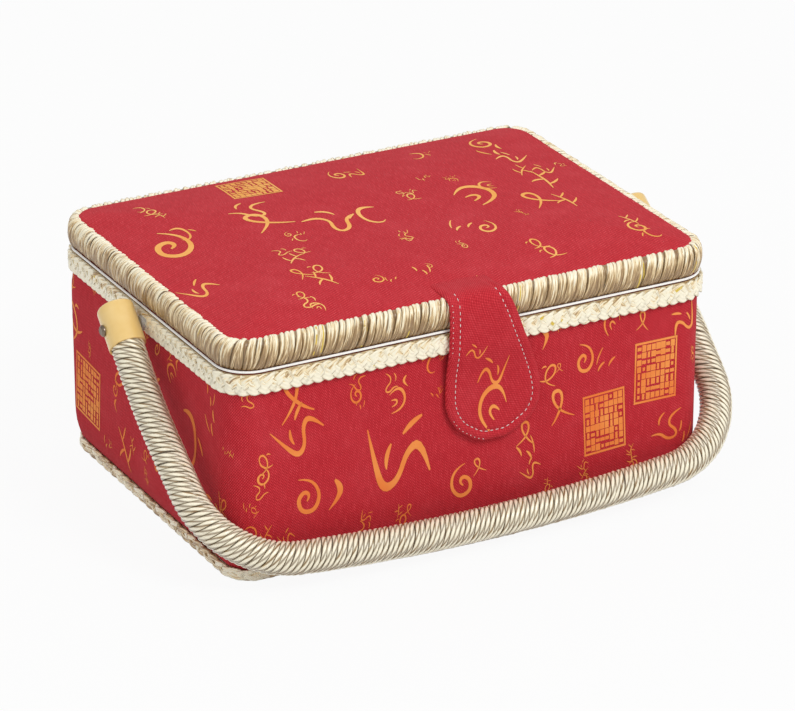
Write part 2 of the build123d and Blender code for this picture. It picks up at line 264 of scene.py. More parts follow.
def planOutline(outward=0.0, arcSteps=12, sideStep=6 * mm):
    # counter-clockwise round the box from the middle of the rear, a distance out from the cover cloth
    wide, deep, radius = halfWidth + outward, halfDepth + outward, cornerRadius + outward
    points = [Vector((0, deep))]

    def runTo(end):
        before = points[-1]
        cuts = max(int((end - before).length / sideStep), 1)
        points.extend(before.lerp(end, i / cuts) for i in range(1, cuts))

    for signX, signY, start in ((-1, 1, 90), (-1, -1, 180), (1, -1, 270), (1, 1, 0)):
        centre = Vector((signX * (wide - radius), signY * (deep - radius)))
        turns = [math.radians(start + 90 * i / arcSteps) for i in range(arcSteps + 1)]
        arc = [centre + radius * Vector((math.cos(turn), math.sin(turn))) for turn in turns]
        runTo(arc[0])
        points.extend(arc)
    runTo(points[0])
    return [(x, y, 0.0) for x, y in points]


def lengthOf(points, closed=True):
    ends = points[1:] + points[:1] if closed else points[1:]
    return sum((Vector(b) - Vector(a)).length for a, b in zip(points, ends))


def sweepRound(name, profile, closed):
    # a profile of (outward, z) points drawn all round the box; its own UV map is in metres
    plan = planOutline()
    piece = sweep(name, lineCurve(name, plan, closed=True), (profile, closed))
    run, rise = [0.0], [0.0]
    for a, b in zip(plan, plan[1:] + plan[:1]):
        run.append(run[-1] + (Vector(b) - Vector(a)).length)
    for a, b in zip(profile, profile[1:] + profile[:1]):
        rise.append(rise[-1] + math.dist(a, b))
    uv, count = piece.data.uv_layers[0].data, len(profile)
    for face in piece.data.polygons:
        columns = [i // count for i in face.vertices]
        rows = [i % count for i in face.vertices]
        for loop, column, row in zip(face.loop_indices, columns, rows):
            wrapped = column == 0 and max(columns) == len(plan) - 1
            over = closed and row == 0 and max(rows) == count - 1
            uv[loop].uv = (run[-1] if wrapped else run[column], rise[-1] if over else rise[row])
    return piece


def frameAlong(points, distance, closed=True):
    # place and unit direction at a distance along a line of points
    ends = points[1:] + points[:1] if closed else points[1:]
    for a, b in zip(points, ends):
        a, b = Vector(a), Vector(b)
        step = (b - a).length
        if distance <= step:
            return a.lerp(b, distance / step), (b - a).normalized()
        distance -= step
    return b, (b - a).normalized()


# Shader maths: a wrapped socket that takes part in Python sums

def mathsMethod(operation, swapped=False):
    def method(self, *others):
        values = (*others, self) if swapped else (self, *others)
        return self.look.node("Math", *values, operation=operation)
    return method


class Field:
    def __init__(self, look, socket):
        self.look, self.socket = look, socket

    __add__ = __radd__ = mathsMethod("ADD")
    __mul__ = __rmul__ = mathsMethod("MULTIPLY")
    __sub__, __rsub__ = mathsMethod("SUBTRACT"), mathsMethod("SUBTRACT", swapped=True)
    part, whole, most = mathsMethod("FRACT"), mathsMethod("FLOOR"), mathsMethod("MAXIMUM")
    wave, size = mathsMethod("SINE"), mathsMethod("ABSOLUTE")

    def fade(self, low, high, start=0.0, end=1.0):
        # smooth step from start to end as the value goes from low to high
        return self.look.node("MapRange", self, low, high, start, end, interpolation_type="SMOOTHSTEP")


class Look:
    def __init__(self, name, **surface):
        self.material = bpy.data.materials.new(name)
        self.material.use_nodes = True
        self.tree = self.material.node_tree
        self.shader = self.tree.nodes["Principled BSDF"]
        self.feed(**surface)

    def link(self, socket, value):
        if isinstance(value, Field):
            self.tree.links.new(value.socket, socket)
        else:
            socket.default_value = (*value, 1) if socket.type == "RGBA" else value

    def feed(self, node=None, **values):
        # the shader takes them if no other node is given
        for name, value in values.items():
            self.link((node or self.shader).inputs[name.replace("_", " ")], value)

    def node(self, kind, *values, out=0, **named):
        # lower-case names are settings, the others are inputs
        node = self.tree.nodes.new("ShaderNode" + kind)
        for name, value in named.items():
            if name.islower():
                setattr(node, name, value)
            else:
                self.feed(node, **{name: value})
        for i, value in enumerate(values):
            if value is not None:
                self.link(node.inputs[i], value)
        return Field(self, node.outputs[out])

    def place(self):
        return self.node("TexCoord", out="Object")

    def uv(self, turn=0.0):
        return self.mapped(self.node("TexCoord", out="UV"), turn=turn)

    def mapped(self, vector, scale=(1, 1, 1), turn=0.0):
        return self.node("Mapping", vector, None, (0, 0, math.radians(turn)), scale)

    def line(self, x, y, z):
        return self.node("CombineXYZ", x, y, z)

    def split(self, vector):
        first = self.node("SeparateXYZ", vector).socket
        return [Field(self, output) for output in first.node.outputs]

    def noise(self, vector, scale, detail=3.0, roughness=0.55):
        inputs = {"Vector": vector, "Scale": scale, "Detail": detail, "Roughness": roughness}
        return self.node("TexNoise", out="Fac", **inputs)

    def chance(self, value):
        # one steady random number for each whole number
        return self.node("TexWhiteNoise", out="Value", noise_dimensions="1D", W=value)

    def ramp(self, value, *stops):
        field = self.node("ValToRGB", value)
        elements = field.socket.node.color_ramp.elements
        while len(elements) < len(stops):
            elements.new(1.0)
        for element, (place, colour) in zip(elements, stops):
            element.position, element.color = place, (*colour, 1)
        return field

    def mix(self, share, first, second):
        return self.node("Mix", share, *[None] * 5, first, second, out=2, data_type="RGBA")

    def bump(self, height, strength, distance):
        self.feed(Normal=self.node("Bump", Height=height, Strength=strength, Distance=distance))


# Materials

clothLook = {
    "lit": (0.64, 0.034, 0.048), "deep": (0.40, 0.014, 0.022), "pale": (0.78, 0.10, 0.12),
    "rib": 0.95 * mm, "thread": 0.5 * mm, "slubLength": 7 * mm, "patch": 38.0, "roughness": 0.82,
    "bump": 0.7, "relief": 0.2 * mm,
}


def clothMaterial(name, look=clothLook, turn=0.0):
    # twill: fine slanting ribs of threads, with slubs along the warp and the weft
    cloth = Look(name, Roughness=look["roughness"], Sheen_Weight=0.04, Sheen_Roughness=0.5,
                 Specular_IOR_Level=0.12)
    vector = cloth.uv(turn=turn)
    across, along, _ = cloth.split(vector)
    turns = 2 * math.pi / look["rib"]
    rib = ((across * 0.8 + along * 0.6) * turns).wave() * 0.5 + 0.5
    pick = ((across * 0.6 - along * 0.8) * (turns * 0.8)).wave() * 0.5 + 0.5
    threads = rib * 0.65 + pick * 0.35
    slub = 1 / look["slubLength"]
    warpSlub = cloth.noise(cloth.mapped(vector, (1 / look["thread"], slub, 1)), 1.0, 1.0)
    weftSlub = cloth.noise(cloth.mapped(vector, (slub, 1 / look["thread"], 1)), 1.0, 1.0)
    patch = cloth.noise(vector, look["patch"], 2.0)
    level = (warpSlub + weftSlub) * 0.5 + (threads - 0.5) * 0.8
    colour = cloth.mix(level.fade(0.1, 0.9), look["deep"], look["lit"])
    shine = (threads * warpSlub).fade(0.38, 0.62) * 0.7
    colour = cloth.mix(patch.fade(0.45, 0.8) * 0.15 + shine, colour, look["pale"])
    cloth.feed(Base_Color=colour)
    cloth.bump(threads + (warpSlub + weftSlub) * 0.6, look["bump"], look["relief"])
    return cloth.material


strawLook = {
    "shadow": (0.16, 0.085, 0.025), "dark": (0.3, 0.17, 0.06), "mid": (0.6, 0.405, 0.185),
    "pale": (0.95, 0.77, 0.455), "bright": (1.0, 0.93, 0.72), "gold": (0.72, 0.5, 0.03),
}


def strandMaterial(name, fibres, stretch, twist=0.0, ply=0.0, gold=0.0, edge=0.3, valley=1.0,
                   tone=0.0, own=0.1, paintedTopLight=0.0, level=None):
    # u counts strands: its whole part tells strands apart, its fraction runs across one; v runs along
    look = strawLook
    straw = Look(name, Roughness=0.35, Coat_Weight=0.3, Coat_Roughness=0.22, Specular_IOR_Level=0.9)
    u, v, _ = straw.split(straw.uv())
    across, strand = u.part(), u.whole()
    fibreLine = straw.line((across + v * twist) * fibres, v * stretch, strand * 3.7)
    fibre = straw.noise(fibreLine, 1.0, 2.5, 0.6)
    fine = straw.noise(straw.mapped(fibreLine, (3.1, 1.6, 1)), 1.0, 1.5, 0.5)
    ridge = (1 - (across * 2 - 1).size()).fade(0.0, edge)
    depth = (1 - ridge) * (straw.chance(strand + 5.0) * 0.5 + 0.5) * valley
    # painted light: the strands grow lighter along v, towards the band's top, where the light falls
    shade = fibre * 0.66 + fine * 0.34 + (straw.chance(strand) - 0.5) * own + tone + v * paintedTopLight
    relief = ridge * 0.5 + fibre * 0.9 + fine * 0.35
    if level:
        # painted shade: darker above the level, where the lid's band shades the plait, and lighter below it,
        # over a run
        height, run, change = level
        shade = shade + straw.split(straw.place())[2].fade(height - run, height + run, change, -change)
    if ply:
        seam = (across + v * ply).part()
        twisted = (1 - (seam * 2 - 1).size()).fade(0.0, 0.7)
        shade = shade + (twisted - 0.5) * 0.22
        depth = depth.most((1 - twisted) * 0.8)
        relief = relief * 0.5 + twisted * 1.1
    colour = straw.ramp(shade.fade(0.355, 0.645), (0.0, look["dark"]), (0.3, look["mid"]),
                        (0.58, look["pale"]), (0.88, look["bright"]))
    colour = straw.mix(depth, colour, look["shadow"])
    if gold:
        # a stray fibre of foil that shows for a short way
        shows = straw.noise(straw.line(strand * 3.1, v * 0.8, 0.0), 1.0, 0.0).fade(0.5, 0.54)
        stray = straw.chance(strand + 17.0).fade(1 - gold, 1.001 - gold) * shows
        stray = stray * (across - 0.4).size().fade(0.1, 0.18, 1.0, 0.0)
        colour = straw.mix(stray, colour, look["gold"])
    straw.feed(Base_Color=colour)
    straw.bump(relief, 0.7, 0.4 * mm)
    return straw.material


def plainMaterial(name, colour, second, grain=600.0, bump=0.2, relief=0.05 * mm, **surface):
    # moulded or pressed material: two close tones in a fine grain
    plain = Look(name, **surface)
    place = plain.place()
    cloud, fine = plain.noise(place, grain * 0.08, 3.0), plain.noise(place, grain, 2.0)
    plain.feed(Base_Color=plain.mix(cloud.fade(0.3, 0.7), colour, second))
    plain.bump(fine + cloud, bump, relief)
    return plain.material


def printMaterial(name, warm=(0.93, 0.33, 0.085), light=(0.98, 0.56, 0.22)):
    # ink on cloth: it takes unevenly on the threads
    ink = Look(name, Roughness=0.8)
    place = ink.place()
    broad, fine = ink.noise(place, 26.0, 2.0), ink.noise(place, 1500.0, 1.0)
    colour = ink.mix(broad.fade(0.35, 0.65), warm, light)
    ink.feed(Base_Color=ink.mix(fine.fade(0.55, 0.75) * 0.35, colour, (0.8, 0.2, 0.05)))
    ink.bump(fine, 0.35, 0.1 * mm)
    return ink.material


def softMaterial(name, colour, second, thread=0.5 * mm, **surface):
    # plain cloth without a print, on its own UV map in metres
    deep = tuple(0.82 * c for c in colour)
    plain = {"lit": colour, "deep": deep, "pale": second, "thread": thread, "rib": 1.6 * thread}
    return clothMaterial(name, {**clothLook, **plain, **surface})


materials = {
    "cover": clothMaterial("printedCotton"),
    "lidCloth": clothMaterial("printedCottonLid", {**clothLook, "rib": 1.2 * mm}, 15),
    "tab": clothMaterial("tabCotton", {**clothLook, "rib": 0.9 * mm}, 20),
    "lining": softMaterial("liningCotton", (0.52, 0.03, 0.045), (0.62, 0.08, 0.09)),
    "base": softMaterial("baseCotton", (0.40, 0.025, 0.035), (0.5, 0.06, 0.07)),
    "cushion": softMaterial("cushionCotton", (0.60, 0.05, 0.06), (0.72, 0.14, 0.14)),
    "tape": softMaterial("hingeTape", (0.45, 0.03, 0.04), (0.55, 0.08, 0.09), 0.35 * mm),
    "print": printMaterial("orangePrint", (0.86, 0.2, 0.03), (0.93, 0.33, 0.07)),
    "lidPrint": printMaterial("orangePrintLid", (0.9, 0.4, 0.08), (0.96, 0.52, 0.15)),
    # the band's straw is painted darker at its foot and lighter towards its top, as painted light
    "band": strandMaterial("woundStraw", 3.4, 0.5, twist=-0.06, gold=0.03, edge=0.35, valley=0.8,
                           tone=-0.22, own=0.05, paintedTopLight=0.07),
    # the rim plait is painted darker on its upper part, as painted shade under the lid's band
    "rim": strandMaterial("plaitedStraw", 3.6, 0.28, twist=0.1, gold=0.03, edge=0.16, valley=0.45,
                          tone=0.14, own=0.14, level=(104.8 * mm, 2 * mm, 0.06)),
    "foot": strandMaterial("plaitedStrawFoot", 3.2, 0.26, edge=0.14, valley=0.5, tone=0.03, own=0.22),
    "handle": strandMaterial("handleStraw", 2.4, 0.4, twist=-0.36, ply=-0.36, edge=0.42, tone=0.15, own=0.16),
    "backing": strandMaterial("backingStraw", 3.0, 0.5, valley=0.3, tone=-0.05),
    "piping": softMaterial("whitePiping", (1.0, 0.98, 0.95), (1.0, 1.0, 0.98), 0.3 * mm,
                           deep=(0.95, 0.93, 0.9), bump=0.25),
    "stitch": plainMaterial("stitchThread", (0.74, 0.68, 0.66), (0.84, 0.79, 0.76), Roughness=0.6),
    "card": plainMaterial("pressedCard", (0.45, 0.37, 0.27), (0.5, 0.42, 0.31), Roughness=0.85),
    "socket": plainMaterial("creamPlastic", (0.86, 0.58, 0.2), (0.9, 0.64, 0.26), 900.0, 0.08,
                            Roughness=0.3, Coat_Weight=0.4, Coat_Roughness=0.12),
    "core": plainMaterial("corePlastic", (0.66, 0.6, 0.5), (0.7, 0.64, 0.54), Roughness=0.5),
    "ivory": plainMaterial("ivoryPlastic", (0.82, 0.77, 0.66), (0.85, 0.8, 0.7), 700.0, 0.12,
                           Roughness=0.35),
    "darkSteel": plainMaterial("rivetSteel", (0.16, 0.12, 0.09), (0.26, 0.2, 0.15), 900.0,
                               Roughness=0.34, Metallic=1.0),
    "nickel": plainMaterial("nickelPlate", (0.62, 0.61, 0.58), (0.7, 0.69, 0.66), Roughness=0.3,
                            Metallic=1.0),
    "foam": plainMaterial("wadding", (0.88, 0.86, 0.8), (0.93, 0.91, 0.86), Roughness=0.95),
    "elastic": softMaterial("elasticWeb", (0.8, 0.75, 0.66), (0.88, 0.84, 0.76), 0.6 * mm),
    "clear": plainMaterial("clearTube", (0.93, 0.94, 0.95), (0.97, 0.97, 0.98), 500.0, 0.1,
                           Roughness=0.14, IOR=1.42, Transmission_Weight=0.55, Coat_Weight=0.5),
}

# CAD nodes whose shape is right keep it
nodeMaterials = {
    "card": ["wall_board", "floor_board", "lid_board", "lid_rim_board", "tray_ledges"],
    "nickel": ["catch_plate", "tab_magnet", "rivet_washers"],
    "core": ["handle_core"], "ivory": ["tray"], "socket": ["end_sockets"], "clear": ["spacer_tubes"],
    "darkSteel": ["pivot_rivets"],
}
for key, names in nodeMaterials.items():
    for nodeName in names:
        paint(frame["nodes"][nodeName], key)
print("materials made")


# Body: printed cover cloth, linings and base cloth

bodyValues = {
    "thickness": 0.8 * mm, "rowStep": 6 * mm, "hang": 0.35 * mm, "hangSize": 0.075,
    # the side walls stand out a little towards the rear: how far, and where it starts and is full
    "belly": 1.3 * mm, "bellyFrom": (-70 * mm, -10 * mm), "bellyTop": (98 * mm, 90 * mm),
    "bellyFoot": (3 * mm, 17 * mm),
    # up from the foot and in from the wall, in mm
    "footCurve": [(18.6, 0.0), (14.6, 0.15), (10.6, 0.45), (7.4, 0.85), (4.6, 1.4), (2.2, 2.1), (0.2, 3.2)],
    "liningInset": 4.5 * mm, "liningThickness": 0.6 * mm, "floorTop": 4.7 * mm,
    # the lining's fold over the rim, as (outward, down from the rim)
    "fold": [(-1.2, 0.25), (-1.5, 0), (-3.9, 0), (-4.3, 0.15)],
}


def ripple(piece, depth, size):
    # shallow unevenness of cloth over card
    cloud = bpy.data.textures.new(piece.name + "Ripple", "CLOUDS")
    cloud.noise_scale = size
    cloud.noise_depth = 1
    return modify(piece, "DISPLACE", texture=cloud, strength=depth, mid_level=0.5, texture_coords="LOCAL")


def wallProfile(inset=0.0, low=footZ):
    # from the rim down the wall and in under the foot, as (outward, z)
    straightEnd = footZ + bodyValues["footCurve"][0][0] * mm
    rows = int((rimZ - straightEnd) / bodyValues["rowStep"])
    straight = [(-inset, rimZ + (straightEnd - rimZ) * i / rows) for i in range(rows)]
    foot = [(-inset - step * mm, footZ + up * mm) for up, step in bodyValues["footCurve"]]
    return straight + [point for point in foot if point[1] >= low]


def makeBodyCover():
    values = bodyValues
    cover = sweepRound("body_cover_cloth", wallProfile(), False)
    ripple(cover, values["hang"], values["hangSize"])
    places = coordsOf(cover)
    x, y, z = places.T
    out = rising(y, *values["bellyFrom"]) * rising(z, *values["bellyTop"]) * rising(z, *values["bellyFoot"])
    places[:, 0] += np.sign(x) * values["belly"] * out * rising(np.abs(x), 0.75 * halfWidth, halfWidth)
    moveVertices(cover, places)
    thicken(cover, values["thickness"])
    return dress(cover, "cover", "root", "printed_cotton", "body_cover", angle=40)


def makeWallLining():
    # the lining stands inside the card and folds over its top edge
    inset = bodyValues["liningInset"]
    inside = wallProfile(inset, bodyValues["floorTop"] + 1 * mm)
    fold = [(out * mm, rimZ - down * mm) for out, down in bodyValues["fold"]]
    lining = sweepRound("wall_lining_cloth", fold + inside[1:], False)
    thicken(faceBack(lining), bodyValues["liningThickness"])
    return dress(lining, "lining", "root", "lining_cloth", "wall_lining", angle=40)


def makeFloor(name, node, slot, radius, look):
    # flat rounded cloth on the floor or under the base
    low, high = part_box(node)
    sheet, square = newGrid(name, 24, 24)
    flat = roundCorners(square, high.x, high.y, radius)
    moveVertices(sheet, np.column_stack([flat, np.full(len(flat), low.z)]))
    thicken(unfold(sheet), high.z - low.z, 1.0)
    return dress(sheet, look, "root", slot, node, angle=40)


def roundCorners(square, wide, deep, radius):
    # points of the square from -1 to 1 go to a rectangle whose corners are round
    x, y = square[:, 0] * wide, square[:, 1] * deep
    a = np.clip((np.abs(x) - (wide - radius)) / radius, 0, 1)
    b = np.clip((np.abs(y) - (deep - radius)) / radius, 0, 1)
    inX, inY = np.minimum(np.abs(x), wide - radius), np.minimum(np.abs(y), deep - radius)
    x = np.sign(x) * (inX + radius * a * np.sqrt(1 - b * b / 2))
    y = np.sign(y) * (inY + radius * b * np.sqrt(1 - a * a / 2))
    return np.column_stack([x, y])


bodyCover = makeBodyCover()
makeWallLining()
makeFloor("floor_lining_cloth", "floor_lining", "lining_cloth", 8 * mm, "lining")
makeFloor("base_sheet", "base_cloth", "base_cloth", 11 * mm, "base")
print("body made")


# Lid: padded cover, band of wound straw, piping

lidLow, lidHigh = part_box("lid_cover")
lidValues = {
    # the cover, and the wadding a cloth's thickness below it: a round shoulder, then a shallow crown
    "cover": {"radius": 13.6 * mm, "shoulder": 3.0 * mm, "shoulderRise": 1.5 * mm, "crown": 4.1 * mm},
    "pad": {"radius": 12.7 * mm, "shoulder": 2.2 * mm, "shoulderRise": 1.0 * mm, "crown": 3.7 * mm},
    "crownRun": 58 * mm, "padTop": 0.5 * mm, "thickness": 0.8 * mm,
    "dimple": 0.35 * mm, "dimpleSize": 24.0, "dimpleInset": 20 * mm,
    "pucker": 0.22 * mm, "puckerLength": 7 * mm, "puckerInset": 5 * mm, "puckerRun": 7 * mm,
}


def crowdEnds(shares, crowding):
    # spaces -1 to 1 so that lines lie closer near both ends
    return (1 - crowding) * shares + crowding * np.sin(shares * math.pi / 2)


def insetFrom(flat, wide, deep, radius):
    # distance of each point in from the edge of a rounded rectangle
    a, b = np.abs(flat[:, 0]) - (wide - radius), np.abs(flat[:, 1]) - (deep - radius)
    beyond = np.hypot(np.maximum(a, 0), np.maximum(b, 0)) + np.minimum(np.maximum(a, b), 0)
    return radius - beyond


def crowned(name, cuts, crowding, wide, deep, values):
    # rounded sheet with lines crowded to its edges: the piece, its flat places, their inset and their rise
    sheet, square = newGrid(name, *cuts)
    flat = roundCorners(crowdEnds(square, crowding), wide, deep, values["radius"])
    inset = np.clip(insetFrom(flat, wide, deep, values["radius"]), 0, None)
    shoulder = np.clip(inset / values["shoulder"], 0, 1)
    share = np.clip((inset - values["shoulder"]) / lidValues["crownRun"], 0, 1)
    rise = values["shoulderRise"] * np.sqrt(1 - (1 - shoulder) ** 2)
    return sheet, flat, inset, rise + values["crown"] * (1 - (1 - share) ** 2)


def makeLidCover():
    values, shape = lidValues, lidValues["cover"]
    edgeZ = lidHigh.z - shape["crown"] - shape["shoulderRise"]
    cover, flat, inset, rise = crowned("lid_cover_cloth", (130, 96), 0.72, lidHigh.x, lidHigh.y, shape)
    puckers = [noise.noise((x / values["puckerLength"], y / values["puckerLength"], 3.0)) for x, y in flat]
    dimples = [noise.noise((x * values["dimpleSize"], y * values["dimpleSize"], 7.0)) for x, y in flat]
    nearEdge = np.exp(-((inset - values["puckerInset"]) / values["puckerRun"]) ** 2)
    rise += values["pucker"] * nearEdge * puckers
    rise += values["dimple"] * rising(inset, 0, values["dimpleInset"]) * dimples
    unfold(moveVertices(cover, np.column_stack([flat, edgeZ + rise])))
    thicken(drawDown(cover, edgeZ - lidLow.z), values["thickness"])
    return dress(cover, "lidCloth", "lid", "printed_cotton", "lid_cover", angle=50)


def makeLidPad():
    low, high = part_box("lid_pad")
    shape = lidValues["pad"]
    edgeZ = high.z - lidValues["padTop"] - shape["crown"] - shape["shoulderRise"]
    pad, flat, _, rise = crowned("lid_wadding", (60, 44), 0.6, high.x, high.y, shape)
    moveVertices(pad, np.column_stack([flat, edgeZ + rise]))
    faceOutwards(drawDown(pad, edgeZ - low.z, 1, close=True))
    return dress(pad, "foam", "lid", "foam", "lid_pad", angle=40)


lidCover = makeLidCover()
makeLidPad()

bandLow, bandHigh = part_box("lid_band")
bandValues = {
    "pitch": 2.05 * mm, "width": 2.5 * mm, "proud": 0.8 * mm, "lean": 5.4 * mm, "seed": 11,
    # cross-section from the piping over the bulge and in over the top, as (outward, up)
    "curve": [(-2.4, 0.9), (-0.9, 1.0), (0.1, 2.0), (1.0, 4.4), (1.5, 7.4), (1.4, 10.6), (0.7, 13.1),
              (-0.6, 14.8), (-2.4, 15.3), (-4.1, 14.4)],
    "coreInset": 0.45,
    # unevenness of the turns: along, across, leaning, width, thickness and height
    "along": 0.12, "across": 0.12 * mm, "sway": 0.05, "wider": (0.88, 1.1), "thicker": 0.03,
    "higher": (0.985, 1.02),
}


def strandPath(values, share):
    # point of the band's cross-section and its outward normal, share from 0 at the foot to 1
    curve = values["curve"]
    place = share * (len(curve) - 1)
    i = min(int(place), len(curve) - 2)
    a, b = Vector(curve[i]), Vector(curve[i + 1])
    return a.lerp(b, place - i) * mm, (b - a).normalized()


def makeBand():
    values = bandValues
    chance = random.Random(values["seed"])
    coreProfile = [((out - values["coreInset"]) * mm, bandLow.z + up * mm) for out, up in values["curve"]]
    core = sweepRound("band_core", coreProfile[::-1], False)
    thicken(core, 0.8 * mm)
    setUv(core, uvOf(core) * (1 / values["pitch"], 120))
    strand, _ = newGrid("strand", 4, 11, 1)
    places = []
    for x, y, _ in coordsOf(strand):
        share = y + 0.5
        point, along = strandPath(values, share)
        arch = values["proud"] * math.sqrt(max(1 - (2 * x) ** 2, 0))
        outward, up = point.x + arch * along.y, point.y - arch * along.x
        places.append((x * values["width"] + values["lean"] * (share - 0.5), -outward, up))
    faceOutwards(moveVertices(strand, places))
    # u counts the strands, v runs along each
    strandUv = uvOf(strand) * (0.998, 5) + (0.001, 0)
    outline = planOutline()
    length = lengthOf(outline)
    count = round(length / values["pitch"])
    copies = []
    for number in range(count):
        shift = chance.uniform(-values["along"], values["along"])
        place, along = frameAlong(outline, (number + shift) % count * length / count)
        lean = chance.gauss(0, values["sway"])
        outward = Vector((along.y, -along.x, 0))
        size = (chance.uniform(*values["wider"]), 1 + chance.gauss(0, values["thicker"]),
                chance.uniform(*values["higher"]))
        up = Vector((along.x * lean, along.y * lean, size[2]))
        turn = Matrix((along * size[0], -outward * size[1], up))
        matrix = turn.transposed().to_4x4()
        matrix.translation = place + outward * chance.gauss(0, values["across"]) + Vector((0, 0, bandLow.z))
        copies.append(setUv(copyOf(strand, matrix), strandUv + (number, 0)))
    bpy.data.objects.remove(strand)
    band = joinPieces("lid_band_strands", [core, *copies])
    return dress(band, "band", "lid", "straw_cord", "lid_band")


makeBand()


pipingValues = {"radius": 0.6 * mm, "out": 0.55 * mm, "lift": 0.6 * mm, "sides": 10,
                "rear": 2.3 * mm, "rearFrom": (80 * mm, 92 * mm)}


def makePiping():
    low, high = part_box("lid_piping")
    values, centreZ = pipingValues, (low.z + high.z) / 2 + pipingValues["lift"]
    turns = [2 * math.pi * i / values["sides"] for i in range(values["sides"])]
    ring = [(values["out"] + values["radius"] * math.cos(a), centreZ - values["radius"] * math.sin(a))
            for a in turns]
    piping = sweepRound("piping", ring, True)
    # at the rear it stays in front of the hinge line
    places = coordsOf(piping)
    places[:, 1] -= values["rear"] * rising(places[:, 1], *values["rearFrom"])
    return dress(moveVertices(piping, places), "piping", "lid", "white_piping", "lid_piping")


makePiping()
print("lid made")


# Flat plaits at the rim and the foot

plaitValues = {
    # how sharply a strand turns back, its rise and fall with the waver, and the waver's pace
    "blunt": 0.12, "lift": 0.4, "pace": 2.3,
    # its ridged section: thickness at the edge, depth of the grooves, the inner side's share; v in a period
    "edge": 0.15, "groove": 0.45, "inner": (0.9, 0.8), "vPeriod": 9,
}


def makePlait(name, values, node):
    # three flat strands that pass over and under each other all round the box
    outline = planOutline(values["outward"])
    length = lengthOf(outline)
    periods = round(length / values["period"])
    steps, strands = periods * values["steps"], []
    values = {**plaitValues, **values}
    for strand in range(3):
        points = []
        for i in range(steps):
            share = i / steps
            turn = 2 * math.pi * (share * periods + strand / 3)
            spot = (share * periods * values["pace"], strand * 5.0, values["seed"])
            jitter = values["waver"] * noise.noise(spot)
            place, along = frameAlong(outline, share * length)
            outward = Vector((along.y, -along.x, 0))
            side = math.sin(turn) * (1 - values["blunt"] * math.sin(turn) ** 2)
            over = values["over"] * math.sin(2 * turn) + values["lift"] * jitter
            rise = Vector((0, 0, values["z"] + values["swing"] * side + jitter))
            points.append(tuple(place + outward * over + rise))
        path = lineCurve(name + str(strand), points, closed=True)
        count = values["ridges"]
        wide, thick, edge = values["strand"] / 2, values["thick"] / 2, values["edge"]
        outer = []
        for i in range(4 * count + 1):
            share = i / (4 * count)
            swell = math.sqrt(max(1 - (2 * share - 1) ** 4, 0))
            hump = 1 - values["groove"] * abs(math.cos(math.pi * count * share)) ** 3
            outer.append((thick * (edge + (1 - edge) * swell * hump), wide * (1 - 2 * share)))
        deep, high = -thick * values["inner"][0], wide * values["inner"][1]
        profile = outer + [(deep, -high), (deep, high)]
        ribbon = sweep(path.name, path, (profile, True))
        size = len(profile)
        for face in ribbon.data.polygons:
            columns = [v // size for v in face.vertices]
            for loop, vertex in zip(face.loop_indices, face.vertices):
                column, row = vertex // size, vertex % size
                column += steps if column == 0 and max(columns) == steps - 1 else 0
                across = acrossStrand(row / 4 / count) if row <= 4 * count else 0.5
                lobe = strand + 3 * ((column * 2) // values["steps"])
                along = column / values["steps"] * values["vPeriod"]
                ribbon.data.uv_layers[0].data[loop].uv = (across + lobe, along)
        strands.append(ribbon)
    dress(faceOutwards(joinPieces(name, strands)), values["look"], "root", "straw_braid", node)
    inner, outer, low, high = (v * mm for v in values["backing"])
    section = [(outer, high), (outer, (high + low) / 2), (outer, low), (inner, low), (inner, high)]
    backing = sweepRound(name + "_backing", section, True)
    for vertex in backing.data.vertices:
        at = vertex.co
        if at.z > values["raised"] * mm and not (at.y > 0.09 and abs(at.x) < 0.1):
            at.z += 0.4 * mm
    setUv(backing, uvOf(backing)[:, ::-1] / (2 * mm, 8 * mm))
    return dress(backing, "backing", "root", "straw_braid", angle=40)


rimValues = {
    "outward": 1.5 * mm, "z": 104.7 * mm, "period": 17 * mm, "steps": 16, "swing": 3.0 * mm,
    "over": 0.6 * mm, "strand": 5.6 * mm, "thick": 1.25 * mm, "ridges": 3, "waver": 0.35 * mm, "seed": 2.0,
    "look": "rim", "backing": (0.1, 0.8, 100.2, 109.45), "raised": 109.0,
}
footValues = {
    "outward": -1.4 * mm, "z": 3.45 * mm, "period": 25 * mm, "steps": 18, "swing": 1.75 * mm,
    "over": 0.45 * mm, "strand": 3.0 * mm, "thick": 1.4 * mm, "ridges": 2, "waver": 0.3 * mm, "seed": 5.0,
    "look": "foot", "backing": (-5.8, -2.0, 0.2, 4.8), "raised": 200.0,
}
makePlait("rim_plait", rimValues, "rim_braid")
makePlait("foot_plait", footValues, "base_braid")
print("plaits made")


# Latch tab: two layers of cloth with wadding, top-stitched, folded over the band

